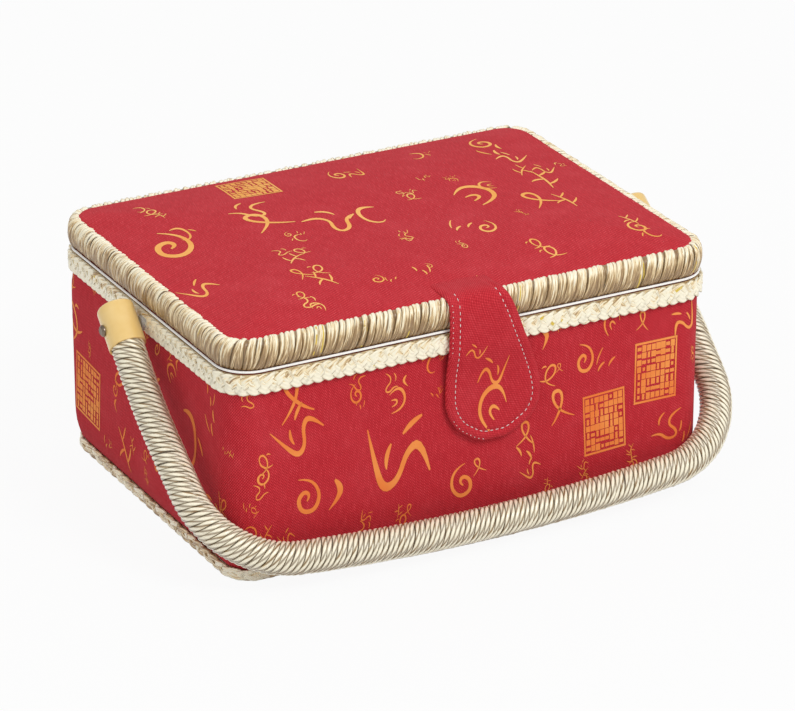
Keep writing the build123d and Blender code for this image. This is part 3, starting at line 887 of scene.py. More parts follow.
tabValues = {
    # left and right edge at each height of the hanging part, in mm
    "edges": [(127.0, -17.2, 14.6), (119.0, -17.4, 18.6), (105.0, -17.8, 23.8), (96.0, -18.1, 27.9),
              (86.0, -18.5, 31.9), (78.0, -18.6, 33.9), (72.0, -18.4, 34.6), (66.0, -16.6, 33.9),
              (61.0, -14.0, 31.8), (57.5, -10.8, 28.9), (54.5, -6.6, 24.4), (52.3, -2.0, 19.0),
              (50.9, 3.0, 14.0), (50.6, 8.0, 8.6)],
    # middle line from the lid down, as (y, z) in mm
    "line": [(-79, 128.4), (-83, 128.5), (-87, 128.5), (-90.6, 128.5), (-94.0, 128.2), (-97.2, 127.4),
             (-99.8, 125.2), (-100.6, 120.5), (-101.0, 114.0), (-101.1, 106.0), (-100.9, 99.5), (-99.4, 92.0),
             (-98.5, 85.0), (-98.2, 70.0), (-98.2, 58.0), (-98.7, 49.5)],
    # how far the root's edges lie under its middle line along the tab, in mm
    "pressed": [(0, 0.0), (4, 0.5), (8, 1.0), (12, 1.4), (15, 0.9), (19, 0.3), (23, 0.0)],
    "front": -97 * mm, "fold": 23.0 * mm, "half": 1.7 * mm, "roll": 3.2 * mm, "groove": 0.65 * mm,
    "stitchInset": 5.0 * mm, "grooveWidth": 1.0 * mm, "crease": 0.2 * mm, "taper": 20 * mm,
    "stitch": (1.9 * mm, 0.42 * mm, 0.42 * mm), "above": 0.14 * mm, "stitchEnd": 9 * mm,
    # rows as (inset, pitch, length), and the part of the left edge that a short row keeps to
    "rows": [(5.0 * mm, 3.0 * mm, 1.0, None), (1.1 * mm, 2.6 * mm, 0.34, (20 * mm, 47 * mm)),
             (1.1 * mm, 2.6 * mm, 0.34, (82 * mm, 96 * mm))],
}


def sampled(points, resolution=10):
    # smooth line through the neighbourhood of some points, as a list of places
    curve = lineCurve("route", points, kind="NURBS", resolution=resolution)
    mesh = bpy.data.meshes.new_from_object(curve)
    places = [tuple(v.co) for v in mesh.vertices]
    bpy.data.objects.remove(curve)
    bpy.data.meshes.remove(mesh)
    return places


class Tab:
    # from flat cloth (x, s), s the distance along the middle line, to its place on the box
    def __init__(self, values):
        self.values = values
        self.line = sampled([(0, y * mm, z * mm) for y, z in values["line"]])
        self.runs = [0.0]
        for a, b in zip(self.line, self.line[1:]):
            self.runs.append(self.runs[-1] + math.dist(a, b))
        heights, top = [point[2] for point in self.line], values["edges"][0][0] * mm
        hanging = next(i for i, (_, y, z) in enumerate(self.line) if z < top and y < values["front"])
        table = [(0.0, -17.1 * mm, 13.4 * mm), (self.runs[hanging] * 0.8, -17.2 * mm, 14.0 * mm)]
        for z, left, right in values["edges"]:
            i = next((i for i in range(hanging, len(heights)) if heights[i] <= z * mm), len(heights) - 1)
            table.append((self.runs[i], left * mm, right * mm))
        self.table = np.array(table)
        self.length = table[-1][0]
        left = [(x, s) for s, x, _ in table]
        right = [(x, s) for s, _, x in table[::-1]]
        self.outline = np.array(left + right)

    def edges(self, s):
        return [np.interp(s, self.table[:, 0], self.table[:, side]) for side in (1, 2)]

    def inset(self, flat):
        # distance of flat points from the outline; the sewn end at the lid is no edge
        best = np.full(len(flat), 1.0)
        for a, b in zip(self.outline, self.outline[1:]):
            run = b - a
            share = np.clip(((flat - a) @ run) / max(run @ run, 1e-12), 0, 1)
            best = np.minimum(best, np.hypot(*(flat - a - share[:, None] * run).T))
        return best

    def half(self, flat):
        # half the thickness: round roll at the edge, groove at the stitching, soft middle
        values, inset = self.values, self.inset(flat)
        roll = np.sqrt(np.clip(1 - (1 - np.clip(inset / values["roll"], 0, 1)) ** 2, 0, 1))
        groove = np.exp(-((inset - values["stitchInset"]) / values["grooveWidth"]) ** 2)
        sewn = np.clip(flat[:, 1] / values["taper"], 0.12, 1)
        return (values["half"] * roll - values["groove"] * groove) * sewn

    def face(self, flat, side):
        # height of one face over the middle line, with its creases
        height = self.half(flat)
        creases = np.array([noise.noise((x * 110, y * 60, side)) for x, y in flat])
        # at the sewn root the edges are pressed onto the lid
        rounding = np.sqrt(np.clip(self.inset(flat) / self.values["roll"], 0, 1))
        pressed = (1 - rounding) * np.interp(flat[:, 1] / mm, *zip(*self.values["pressed"])) * mm
        return height + self.values["crease"] * creases * np.clip(height / mm, 0, 1) - side * pressed

    def place(self, flat, height):
        (y, z), (nextY, nextZ) = ([np.interp(s, self.runs, [p[axis] for p in self.line]) for axis in (1, 2)]
                                  for s in (flat[:, 1], flat[:, 1] + 1e-4))
        dy, dz = nextY - y, nextZ - z
        size = np.maximum(np.hypot(dy, dz), 1e-9)
        return np.column_stack([flat[:, 0], y + height * dz / size, z - height * dy / size])


tab = Tab(tabValues)


def makeTab():
    faces = []
    for side in (1, -1):
        sheet, square = newGrid("tab_side", 60, 110)
        s = tab.length * np.sin((square[:, 1] + 1) / 2 * math.pi / 2)
        left, right = tab.edges(s)
        across = crowdEnds(square[:, 0], 0.75)
        flat = np.column_stack([(left + right) / 2 + across * (right - left) / 2, s])
        moveVertices(sheet, tab.place(flat, side * tab.face(flat, side)))
        faces.append(setUv(sheet, flat[cornersOf(sheet)]))
    piece = joinPieces("latch_tab_cloth", faces)
    faceOutwards(editMesh(piece, bpy.ops.mesh.remove_doubles, threshold=0.02 * mm))
    dress(piece, "tab", None, "tab_cotton", "tab_cloth", "tab_root")
    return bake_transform(piece)


def insetLine(distance):
    # the tab's outline drawn in by a distance, from the lid round the end and back up, evenly spaced
    points, inner = tab.outline, []
    for before, point, after in zip(points, points[1:], points[2:]):
        run = after - before
        normal = np.array([run[1], -run[0]]) / np.hypot(*run)
        inner.append(point + normal * distance)
    inner = np.array(inner)
    inner = inner[tab.inset(inner) > distance * 0.93]
    line = sampled([(x, s, 0) for x, s in inner], resolution=8)
    return [Vector(p) for p in line]


def makeStitches():
    bpy.ops.mesh.primitive_uv_sphere_add(segments=8, ring_count=6, radius=0.5)
    stitch = newPiece("stitch")
    stitch.data.transform(Matrix.Diagonal((*tabValues["stitch"], 1)))
    groups = {"lid": [], "latch_tab": []}
    for inset, pitch, length, limits in tabValues["rows"]:
        line = insetLine(inset)
        total = sum((b - a).length for a, b in zip(line, line[1:]))
        for i in range(int(total / pitch)):
            place, along = frameAlong(line, (i + 0.5) * pitch, closed=False)
            if place.y < tabValues["stitchEnd"]:
                continue
            if limits and (place.x > 4 * mm or not limits[0] < place.y < limits[1]):
                continue
            flat = np.array([place[:2], (place + along * mm)[:2]])
            spots = [Vector(v) for v in tab.place(flat, tab.face(flat, 1) + tabValues["above"])]
            direction = (spots[1] - spots[0]).normalized()
            base, over = (tab.place(flat[:1], np.array([height]))[0] for height in (0.0, 1.0))
            side = Vector((0, *(over - base)[1:])).cross(direction).normalized()
            turn = Matrix((direction * length, side, side.cross(-direction).normalized())).transposed()
            body = "lid" if place.y < tabValues["fold"] - 3 * mm else "latch_tab"
            groups[body].append(copyOf(stitch, Matrix.Translation(spots[0]) @ turn.to_4x4()))
    bpy.data.objects.remove(stitch)
    for body, copies in groups.items():
        dress(joinPieces("top_stitching_" + body, copies), "stitch", body, "tab_cotton")


tabCloth = makeTab()
makeStitches()
print("tab made", round(tab.length, 4))


# Print: brush flourishes and lattice blocks of generic design, drawn as flat strokes on the cloth

# strokes as points x,y,width on a field of ten by ten
motifs = {
    "hook": "1,8.6,0.3 3,9.2,1.1 5.4,8.2,1.3 6.2,5,1 5.2,2.2,0.9 2.6,1.2,0.6 1.6,2.4,0.2 / "
            "6.9,6.8,0.3 8.2,6.1,1.2 8.9,4.9,0.3",
    "loop": "0.8,1.4,0.3 3.2,2.6,0.9 6.8,6.2,1 7.2,9.2,1.2 4.4,9.6,1.3 3.6,6.8,1 5.6,3.2,0.9 9,1,0.3",
    "wave": "0.2,3.8,0.3 1.8,6.8,1.2 3.8,6,0.9 4.8,3.2,0.8 6.8,2.4,1.2 8.2,4.6,0.9 9.8,8.4,0.2 / "
            "2,9.2,0.3 3.6,8.6,1.2 4.6,7.6,0.3 / 6.2,6.8,0.3 7,5.6,1.3 6.6,4.4,0.2",
    "sprig": "4.8,0.4,0.3 4.6,3,0.9 5.2,6.4,0.9 6.6,9.6,0.3 / 4.7,2.6,0.4 2.6,3.4,1.3 1.2,5.2,0.3 / "
             "5,5,0.4 7.2,5.2,1.3 8.8,4,0.3 / 5.4,7,0.4 3.8,8,1.2 2.6,9.2,0.3",
    "spiral": "5.2,4.8,0.4 6.4,5.4,0.9 5.6,7,1.1 3.4,6.2,1.2 3.2,3.4,1.1 6,2,1.2 8.6,4.4,1 8,8.4,0.7 "
              "5.4,9.8,0.2",
    "comma": "3.4,8.4,0.6 5.4,7.6,2.2 5.8,5.4,1.4 4,2.6,0.2",
    "ribbon": "0.6,8.8,0.3 3.6,8,1.1 4.6,5.2,0.8 1.8,3.2,1 1.6,1.2,0.8 4.4,1,1 7.2,3.6,0.9 9.6,3.2,0.3 "
              "/ 6,8.8,0.4 8,7.6,1.3 7.4,5.6,0.3",
    "swash": "1,6,0.2 2.6,8.8,0.9 5.8,9.2,1.4 8.4,6.6,1.2 7.6,2.8,1 4.4,0.8,0.3 / 2.6,4.6,0.3 "
             "4.4,5.8,1 5.6,4.2,0.9 3.6,2.8,0.3",
    "drops": "2,8.4,0.4 3.2,7,1.6 2.8,5.6,0.2 / 5,6,0.4 6.2,4.6,1.6 5.8,3.2,0.2 / 8,8.8,0.3 "
             "8.4,6.4,1.1 7.4,4.4,0.2",
    "knot": "0.8,3,0.3 3.6,2.2,1 7.4,4.8,0.9 7.6,8.2,1.1 5,8.8,1.1 3,5.6,0.9 4.2,1.6,0.8 8.6,1,0.3 / "
            "1.2,7.4,0.3 2.4,8.6,1.2 3.2,7.8,0.3",
}
# how two or three flourishes stand together in a figure, as (x, y, size)
layouts = [[(0.0, 0.26, 0.6), (0.06, -0.24, 0.72)], [(-0.24, 0.06, 0.7), (0.24, -0.05, 0.62)],
           [(-0.2, 0.26, 0.48), (0.24, 0.2, 0.5), (0.0, -0.2, 0.74)], [(0.0, 0.0, 1.0)],
           [(-0.1, 0.05, 0.95), (0.3, 0.3, 0.4)], [(0.0, 0.3, 0.5), (0.0, -0.05, 0.6), (0.05, -0.34, 0.45)]]
printValues = {
    "seed": 31, "stroke": 0.078, "above": 0.1 * mm,
    # a block's tiles fill a share of it, between frame strips
    "tiles": 8, "tileGap": 0.16, "tileField": 0.9, "frame": 0.48, "block": 29 * mm,
    # tries for a place, and the room round it as shares of a figure's size
    "tries": 400, "edgeRoom": 0.55, "apart": 0.54, "blockRoom": 1.1,
    "turns": {True: 0.05, False: 0.16}, "wider": (0.8, 1.0), "higher": (0.95, 1.15),
}


def makeMotif(strokes):
    # one flourish as flat strokes on a unit field around its middle
    parts = []
    for stroke in strokes.split("/"):
        knots = [[float(v) for v in knot.split(",")] for knot in stroke.split()]
        points = [((x - 5) / 10, (y - 5) / 10, 0, width) for x, y, width in knots]
        path = lineCurve("stroke", points, kind="NURBS", resolution=4)
        width = printValues["stroke"] / 2
        parts.append(sweep("stroke", path, ([(-width, 0), (width, 0)], False)))
    return joinPieces("motif", parts)


def flatCopy(source, x, y, angle, wide, high):
    turn = Matrix.Rotation(angle, 4, "Z") @ Matrix.Diagonal((wide, high, 1, 1))
    return copyOf(source, Matrix.Translation((x, y, 0)) @ turn)


def makeFigure(chance):
    # a figure of one to three flourishes
    parts = []
    for x, y, size in chance.choice(layouts):
        source = motifPieces[chance.choice(sorted(motifs))]
        flip = chance.choice([1, -1])
        angle = chance.uniform(-0.5, 0.5)
        parts.append(flatCopy(source, x, y, angle, size * flip, size * chance.uniform(0.9, 1.2)))
    return joinPieces("figure", parts)


def makeBlock(chance):
    # framed square of tiles parted by thin grooves, some split and some joined
    tiles, gap, field, parts = printValues["tiles"], printValues["tileGap"], printValues["tileField"], []
    step = field / tiles
    for i in range(tiles):
        for j in range(tiles):
            wide, deep = (step * (1 - gap) * chance.choice([1.0, 1.0, 1 + gap, 0.6]) for _ in range(2))
            parts.append(((i + 0.5) * step - field / 2, (j + 0.5) * step - field / 2, wide, deep))
    edges = (printValues["frame"], -printValues["frame"])
    parts += [(0, side, 1.0, 0.035) for side in edges] + [(side, 0, 0.035, 0.93) for side in edges]
    tilePieces = []
    for x, y, wide, deep in parts:
        tile, _ = newGrid("tile", max(round(wide * 10), 1), max(round(deep * 10), 1), 1)
        tile.data.transform(Matrix.Translation((x, y, 0)) @ Matrix.Diagonal((wide, deep, 1, 1)))
        tilePieces.append(tile)
    return joinPieces("block", tilePieces)


def scatter(chance, wide, deep, blocks, sizes, avoid):
    # places for figures that keep clear of each other, the large ones first
    taken = list(avoid)
    for size in [printValues["block"] * printValues["blockRoom"]] * blocks + sizes:
        room = size * printValues["edgeRoom"]
        for _ in range(printValues["tries"]):
            x, y = (chance.uniform(room - span / 2, span / 2 - room) for span in (wide, deep))
            far = (math.dist((x, y), (a, b)) / (size + other) for a, b, other in taken)
            if all(share > printValues["apart"] for share in far):
                taken.append((x, y, size))
                break
    return taken[len(avoid):]


def printOn(name, body, cloth, wide, deep, blocks, sizes, onto, seed, key="print", avoid=()):
    # onto takes flat points (x, y) to places just above the cloth
    chance = random.Random(printValues["seed"] + seed)
    parts = []
    for i, (x, y, size) in enumerate(scatter(chance, wide, deep, blocks, sizes, avoid)):
        square = i < blocks
        source = makeBlock(chance) if square else makeFigure(chance)
        size = printValues["block"] if square else size
        angle = chance.gauss(0, printValues["turns"][square])
        wider, higher = (chance.uniform(*printValues[way]) for way in ("wider", "higher"))
        parts.append(flatCopy(source, x, y, angle, size * wider, size * higher))
        bpy.data.objects.remove(source)
    piece = joinPieces(name, parts)
    moveVertices(piece, onto(coordsOf(piece)[:, :2]))
    modify(piece, "SHRINKWRAP", target=cloth, wrap_method="NEAREST_SURFACEPOINT",
           wrap_mode="ABOVE_SURFACE", offset=printValues["above"])
    return dress(piece, key, body, "printed_cotton")


def ontoWall(side, height):
    # flat x runs round the box from the middle of a side, flat y rises from a height
    plan = planOutline(1.9 * mm)
    length = lengthOf(plan)

    def place(flat):
        spots = [frameAlong(plan, (side * length / 4 + x) % length)[0] for x, _ in flat]
        return [(spot.x, spot.y, height + y) for spot, (_, y) in zip(spots, flat)]
    return place


motifPieces = {name: makeMotif(strokes) for name, strokes in motifs.items()}
wallHigh = 57 * mm


def sizesOf(*pairs):
    # (size in mm, how many)
    return [size * mm for size, count in (*pairs, (9, 6)) for _ in range(count)]


frontSizes = sizesOf((42, 1), (38, 1), (34, 1), (28, 4), (20, 7), (14, 8))
sideSizes = sizesOf((38, 1), (32, 1), (25, 4), (18, 5), (13, 6))
lidSizes = sizesOf((44, 2), (38, 2), (30, 5), (22, 7), (15, 6))
behindTab = [(7 * mm, 26 * mm, 40 * mm), (7 * mm, 8 * mm, 30 * mm)]
for name, steps, wide, blocks, sizes, avoid in (("front", 2, halfWidth, 2, frontSizes, behindTab),
                                                ("rear", 0, halfWidth, 2, frontSizes, []),
                                                ("left", 1, halfDepth, 1, sideSizes, []),
                                                ("right", 3, halfDepth, 1, sideSizes, [])):
    printOn("print_" + name, "root", bodyCover, 2 * wide, 96 * mm, blocks, sizes,
            ontoWall(steps, wallHigh), steps, avoid=avoid)
printOn("print_lid", "lid", lidCover, 2 * lidHigh.x, 2 * lidHigh.y, 1, lidSizes,
        lambda flat: np.column_stack([flat, np.full(len(flat), 0.1315)]), 5, "lidPrint")
printOn("print_tab", "latch_tab", tabCloth, 34 * mm, 50 * mm, 0, [34 * mm, 12 * mm],
        lambda flat: tab.place(flat * (1, -1) + (6 * mm, 66 * mm), np.full(len(flat), 2 * mm)), 6)
for source in motifPieces.values():
    bpy.data.objects.remove(source)
print("print made")


# Inside of the lid: lining, pincushion and pocket; the cloth hinge

insideValues = {
    "cloth": 0.6 * mm, "radius": 11 * mm, "sag": 0.25 * mm, "sagSize": 30, "sagMost": 0.2 * mm,
    "tape": 0.4 * mm,
    # start is the share of its room that the pad has before it swells, raised by a share of its height
    "cushion": {"voxel": 3 * mm, "pressure": 4.0, "frames": 20, "cap": 3.5 * mm, "start": (0.9, 0.9, 0.66),
                "raised": 0.17, "bevel": 0.3, "sewn": 1.2 * mm},
    "pocket": {"cloth": 0.5 * mm, "gather": 6.2 * mm, "ruffle": 0.9 * mm, "fade": 16 * mm, "uneven": 2.2,
               "unevenSize": 60, "room": 1.6 * mm, "flat": 0.8, "elastic": 0.8 * mm},
}


def makeLidLining():
    # one cloth over the boards: the lid's inner face and its sides
    values, (low, high) = insideValues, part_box("lid_lining")
    lining, square = newGrid("lid_lining_cloth", 64, 48)
    flat = roundCorners(crowdEnds(square, 0.7), high.x, high.y, values["radius"])
    sag = [values["sag"] * noise.noise((x * values["sagSize"], y * values["sagSize"], 9.0)) for x, y in flat]
    sag, innerZ = np.clip(sag, -values["sagMost"], values["sagMost"]), high.z - 0.3 * mm
    unfold(moveVertices(lining, np.column_stack([flat, innerZ + sag])))
    thicken(drawDown(lining, innerZ - low.z), values["cloth"])
    return dress(lining, "lining", "lid", "lining_cloth", "lid_lining", angle=40)


def makePincushion():
    # a closed pad blown up as cloth, sewn down along its flat side
    values = insideValues["cushion"]
    low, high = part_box("pincushion")
    middle, size = (low + high) / 2, high - low
    bpy.ops.mesh.primitive_cube_add(size=1)
    pad = newPiece("pincushion_pad")
    pad.data.transform(Matrix.Diagonal((*size * Vector(values["start"]), 1)))
    pad.data.transform(Matrix.Translation(middle + Vector((0, 0, size.z * values["raised"]))))
    modify(pad, "BEVEL", width=size.z * values["bevel"], segments=4)
    modify(pad, "REMESH", mode="VOXEL", voxel_size=values["voxel"])
    before = coordsOf(pad)
    sewn = pad.vertex_groups.new(name="sewn")
    sewn.add([i for i, z in enumerate(before[:, 2]) if z > high.z - values["sewn"]], 1.0, "ADD")
    cloth = pad.modifiers.new("cloth", "CLOTH")
    cloth.settings.use_pressure = True
    cloth.settings.uniform_pressure_force = values["pressure"]
    cloth.settings.vertex_group_mass = "sewn"
    cloth.settings.effector_weights.gravity = 0
    cloth.point_cache.frame_start, cloth.point_cache.frame_end = 1, values["frames"]
    for step in range(1, values["frames"] + 1):
        bpy.context.scene.frame_set(step)
    applyModifiers(pad)
    bpy.context.scene.frame_set(1)
    moved = coordsOf(pad) - before
    far = np.maximum(np.linalg.norm(moved, axis=1, keepdims=True) / values["cap"], 1)
    places = before + moved / far
    # back into the room that the pad has
    moveVertices(pad, np.clip(places, np.array(low) + 0.2 * mm, np.array(high) - 0.05 * mm))
    modify(pad, "SUBSURF", levels=1, render_levels=1)
    faceOutwards(pad)
    return dress(unfold(pad), "cushion", "lid", "lining_cloth", "pincushion")


def makePocket():
    # cloth sewn down on three sides; elastic gathers its mouth
    values = insideValues["pocket"]
    low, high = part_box("lid_pocket")
    elasticLow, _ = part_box("pocket_elastic")
    pocket, square = newGrid("lid_pocket_cloth", 150, 40)
    middle, half = (low + high) / 2, (high - low) / 2
    mouth = elasticLow.y + 0.2 * mm

    def drop(x, share):
        # how far the cloth hangs below the lining, share from 0 at the mouth to 1 at the sewn side
        side = 1 - np.abs(x) ** 5
        back = np.sqrt(np.clip(1 - share ** 6, 0, 1))
        belly = values["flat"] + (1 - values["flat"]) * np.sin(math.pi * np.clip(share * 1.2, 0, 1))
        return side * back * belly * (high.z - low.z - values["room"])

    share = np.clip((1 - square[:, 1]) / 2, 0, 1)
    y = mouth + share * (high.y - mouth)
    x = middle.x + square[:, 0] * half.x
    fold = np.exp(-share * (high.y - mouth) / values["fade"]) * (1 - np.abs(square[:, 0]) ** 8)
    shift = values["uneven"] * np.array([noise.noise((a * values["unevenSize"], 0.0, 1.0)) for a in x])
    ruffle = values["ruffle"] * fold * np.sin(x * 2 * math.pi / values["gather"] + shift)
    z = high.z - 0.5 * mm - drop(square[:, 0], share) + ruffle
    moveVertices(pocket, np.column_stack([x, y, np.clip(z, low.z + 0.3 * mm, high.z - 0.3 * mm)]))
    thicken(faceBack(unfold(pocket)), values["cloth"])
    dress(pocket, "lining", "lid", "lining_cloth", "lid_pocket", angle=50)
    # elastic along the mouth, in the low folds' line
    ends = np.linspace(-0.94, 0.94, 60)
    line = [(middle.x + a * half.x, elasticLow.y + 0.35 * mm, high.z - 1.2 * mm - drop(a, 0.0)) for a in ends]
    width = values["elastic"]
    section = [(-width / 2, -width), (width / 2, -width), (width / 2, width), (-width / 2, width)]
    band = sweep("pocket_elastic_band", lineCurve("elasticLine", line), (section, True), capped=True)
    setUv(faceOutwards(band), uvOf(band) * (0.006, 0.1))
    dress(band, "elastic", "lid", "elastic", "pocket_elastic", angle=40)


def makeHingeTape():
    # one strip glued behind the wall, bent forward under the lid
    bodyLow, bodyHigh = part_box("hinge_tape_body")
    lidLeafLow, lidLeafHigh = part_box("hinge_tape_lid")
    back, under = (bodyLow.y + bodyHigh.y) / 2, (lidLeafLow.z + lidLeafHigh.z) / 2
    line = [(0, back, bodyLow.z + 0.2 * mm), (0, back, bodyHigh.z - 0.6 * mm), (0, back, under - 0.1 * mm),
            (0, back - 0.5 * mm, under), (0, lidLeafLow.y + 0.1 * mm, under)]
    line = np.array(sampled(line, resolution=8))
    runs = np.concatenate([[0], np.cumsum(np.linalg.norm(np.diff(line, axis=0), axis=1))])
    tape, square = newGrid("hinge_tape_strip", 38, 24)
    across, run = square[:, 0] * bodyHigh.x, (square[:, 1] + 1) / 2 * runs[-1]
    bent = [np.interp(run, runs, line[:, axis]) for axis in (1, 2)]
    setUv(tape, np.column_stack([across, run])[cornersOf(tape)])
    thicken(moveVertices(tape, np.column_stack([across, *bent])), insideValues["tape"], 0.0)
    dress(tape, "tape", None, "hinge_tape", "hinge_tape_body", "hinge_tape_lid", angle=50)
    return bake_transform(tape)


makeLidLining()
makePincushion()
makePocket()
makeHingeTape()
print("inside made")


# Carry handle

pivot = Vector(next(j for j in frame["joints"] if j["name"] == "handle_swing")["pos_m"])
handleValues = {
    "halfSpacing": 146 * mm, "lean": 0.6 * mm, "reach": 134.83 * mm, "tip": 39.36, "bow": 12.8 * mm,
    "armBend": 45 * mm, "armBow": 2.7 * mm, "armRadius": 0.5, "corner": 48 * mm, "bowRadius": 1.1,
    "seat": 7.6 * mm, "step": 2 * mm, "pitch": 2.75 * mm, "cord": 1.66 * mm, "starts": 6,
    "coil": 6.7 * mm, "steps": 26, "arch": 7, "root": 0.7 * mm, "seed": 5,
    "wander": (0.39 * mm, 0.21 * mm, 0.21 * mm), "wanderSize": (90, 160, 160),
}


def handlePlace(across, along):
    tip = math.radians(handleValues["tip"])
    return Vector((across, pivot.y - along * math.cos(tip), pivot.z - along * math.sin(tip)))


def roundedLine(corners, radii):
    # straight runs joined by arcs
    places = [corners[0]]
    for before, corner, after, radius in zip(corners, corners[1:], corners[2:], radii):
        into, out = (corner - before).normalized(), (after - corner).normalized()
        turn = into.angle(out)
        reach, arm = radius * math.tan(turn / 2), radius * math.tan(turn / 4) * 4 / 3
        first, last = corner - into * reach, corner + out * reach
        places += geometry.interpolate_bezier(first, first + into * arm, last - out * arm, last, 33)
    return [*places, corners[-1]]


def makeHandle():
    values = handleValues
    wide = values["halfSpacing"]
    arm = [(wide + values["armBow"] * values["seat"] / values["armBend"], values["seat"]),
           (wide + values["armBow"], values["armBend"]), (wide - values["lean"], values["reach"])]
    corners = [handlePlace(-across, along) for across, along in arm]
    corners += [handlePlace(0, values["reach"] + values["bow"])]
    corners += [handlePlace(across, along) for across, along in arm[::-1]]
    bends = [values["armRadius"], values["corner"]]
    places = roundedLine(corners, [*bends, values["bowRadius"], *bends[::-1]])
    # in short even steps, so that nothing bunches up along it
    length = lengthOf(places, closed=False)
    count = round(length / values["step"])
    spots = [frameAlong(places, length * i / count, closed=False)[0] for i in range(count + 1)]
    path = lineCurve("handlePath", spots)
    path.data.twist_mode = "MINIMUM"
    # some cords lie side by side and go round together; each is an arch from valley to valley
    arch, half = values["arch"], math.asin(values["pitch"] / 2 / values["cord"])
    turnsAcross = [half * (2 * i / (arch - 1) - 1) for i in range(arch)]
    cordRadius = values["cord"]
    section = [(cordRadius * math.sin(a), values["coil"] + cordRadius * math.cos(a), 0) for a in turnsAcross]
    section += [(x * 0.8, values["coil"] - values["root"], 0) for x in (section[-1][0], section[0][0])]
    sides, starts = len(section), values["starts"]
    lead = values["pitch"] * starts
    turns = math.ceil(length / lead) + 2
    cords = []
    # without it noise_vector differs from run to run
    noise.seed_set(values["seed"])
    for number in range(starts):
        bpy.ops.mesh.primitive_circle_add(vertices=sides)
        shift = values["pitch"] * number - lead
        cord = moveVertices(newPiece("handle_cord"), [(x + shift, y, z) for x, y, z in section])
        modify(cord, "SCREW", axis="X", angle=-2 * math.pi, screw_offset=lead, iterations=turns,
               steps=values["steps"], render_steps=values["steps"])
        across = [acrossStrand(share) for share in (*np.linspace(0, 1, arch), 1, 0)]
        corners = cornersOf(cord)
        around = 2 * math.pi * (values["coil"] + values["cord"]) / values["pitch"]
        setUv(cord, np.column_stack([np.array(across)[corners % sides] + number,
                                     corners // sides / values["steps"] * around]))
        # the cords are hand wound, so they wander a little
        places = coordsOf(cord)
        spots = places * values["wanderSize"] + (0, 0, number * 7)
        wander = np.array([noise.noise_vector(spot) for spot in spots])
        moveVertices(cord, places + wander * values["wander"])
        cords.append(cord)
    winding = joinPieces("handle_cord", cords)
    print("handle length", round(length, 4), "turns", turns)
    for end in (0, length):
        editMesh(winding, bpy.ops.mesh.bisect, plane_co=(end, 0, 0), plane_no=(1, 0, 0), use_fill=True,
                 clear_inner=end == 0, clear_outer=end != 0)
    modify(winding, "CURVE", object=path, deform_axis="POS_X")
    bpy.data.objects.remove(path)
    return dress(faceOutwards(winding), "handle", "handle", "straw_cord", "handle_winding")


makeHandle()
print("handle made")


# Camera, light and floor

cameraValues = {
    "azimuth": -28.25, "elevation": 23.98, "distance": 2.27, "lens": 201.6,
    "slideRight": 7.16 * mm, "slideUp": 51.9 * mm,
}


def makeCamera():
    values = cameraValues
    turn, lift = math.radians(values["azimuth"]), math.radians(values["elevation"])
    back = Vector((math.sin(turn) * math.cos(lift), -math.cos(turn) * math.cos(lift), math.sin(lift)))
    right = Vector((0, 0, 1)).cross(back).normalized()
    up = back.cross(right)
    bpy.ops.object.camera_add(location=back * values["distance"] + right * values["slideRight"]
                              + up * values["slideUp"], rotation=(math.pi / 2 - lift, 0, turn))
    camera = bpy.context.object
    camera.data.lens = values["lens"]
    camera.data.sensor_width = 36
    camera.data.clip_start, camera.data.clip_end = 0.1, 20
    bpy.context.scene.camera = camera


lightValues = {
    "sky": 0.62, "key": (16.5, (0.4, -1.4, 1.5), 0.7), "fill": (2.8, (-1.3, -0.5, 1.1), 0.5),
    "rear": (3.4, (0.3, 1.4, 1.5), 0.8), "floorColour": (0.7, 0.7, 0.7), "lift": 0.93,
}


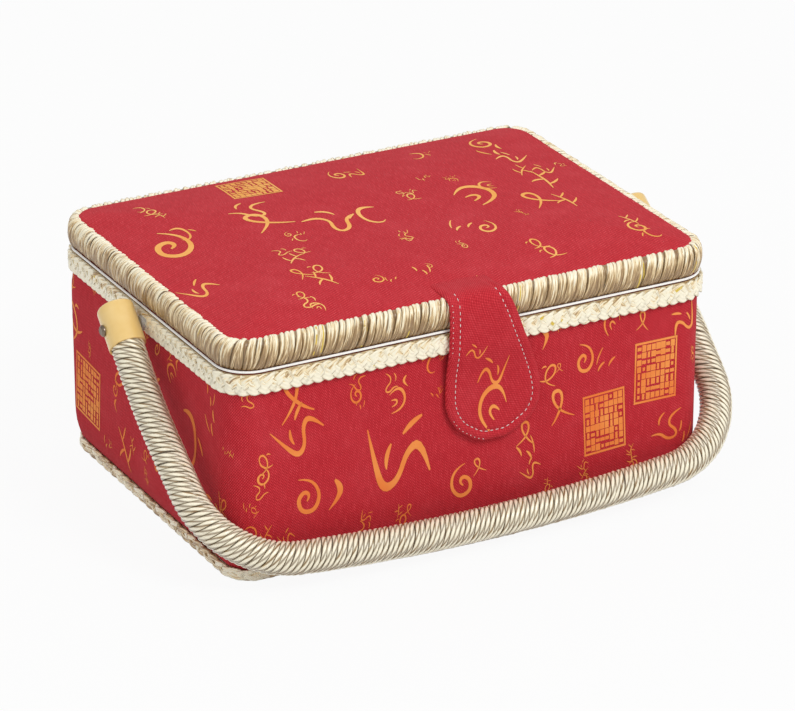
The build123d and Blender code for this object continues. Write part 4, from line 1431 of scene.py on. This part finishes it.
def makeLight(name, power, place, size):
    bpy.ops.object.light_add(type="AREA", location=place)
    lamp = bpy.context.object
    lamp.name = name
    lamp.data.energy, lamp.data.size = power, size
    lamp.rotation_euler = (Vector((0, 0, 0.05)) - Vector(place)).to_track_quat("-Z", "Y").to_euler()


def floorMaterial():
    # pale floor that keeps its shadows, lifted towards white where the camera looks
    plain = Look("paleFloor", Roughness=0.9, Base_Color=lightValues["floorColour"])
    tree = plain.tree
    path, white = tree.nodes.new("ShaderNodeLightPath"), tree.nodes.new("ShaderNodeEmission")
    camera, clear, glossy = (Field(plain, path.outputs["Is " + ray + " Ray"])
                             for ray in ("Camera", "Transmission", "Glossy"))
    seen = camera.most(clear).most(glossy) * lightValues["lift"]
    mixed = tree.nodes.new("ShaderNodeMixShader")
    tree.links.new(seen.socket, mixed.inputs[0])
    tree.links.new(plain.shader.outputs[0], mixed.inputs[1])
    tree.links.new(white.outputs[0], mixed.inputs[2])
    tree.links.new(mixed.outputs[0], tree.nodes["Material Output"].inputs["Surface"])
    return plain.material


def makeStudio():
    for name in ("key", "fill", "rear"):
        makeLight(name, *lightValues[name])
    world = bpy.data.worlds.new("studio")
    bpy.context.scene.world = world
    world.use_nodes = True
    tree = world.node_tree
    tree.nodes.clear()
    # the camera, also through the clear tubes, sees a white backdrop in place of the sky
    kinds = ("LightPath", "Background", "Background", "Math", "MixShader", "OutputWorld")
    path, sky, backdrop, seen, shader, output = (tree.nodes.new("ShaderNode" + kind) for kind in kinds)
    sky.inputs["Strength"].default_value = lightValues["sky"]
    sky.inputs["Color"].default_value = backdrop.inputs["Color"].default_value = (1, 1, 1, 1)
    seen.operation = "MAXIMUM"
    sources = [path.outputs["Is Camera Ray"], path.outputs["Is Transmission Ray"], seen.outputs[0],
               sky.outputs[0], backdrop.outputs[0], shader.outputs[0]]
    for source, target in zip(sources, [*seen.inputs[:2], *shader.inputs, output.inputs[0]]):
        tree.links.new(source, target)
    bpy.ops.mesh.primitive_plane_add(size=8)
    floor = newPiece("floor")
    floor.data.materials.append(floorMaterial())


makeCamera()
makeStudio()
bpy.context.scene.view_settings.view_transform = "Standard"
bpy.context.view_layer.update()
print("scene made")
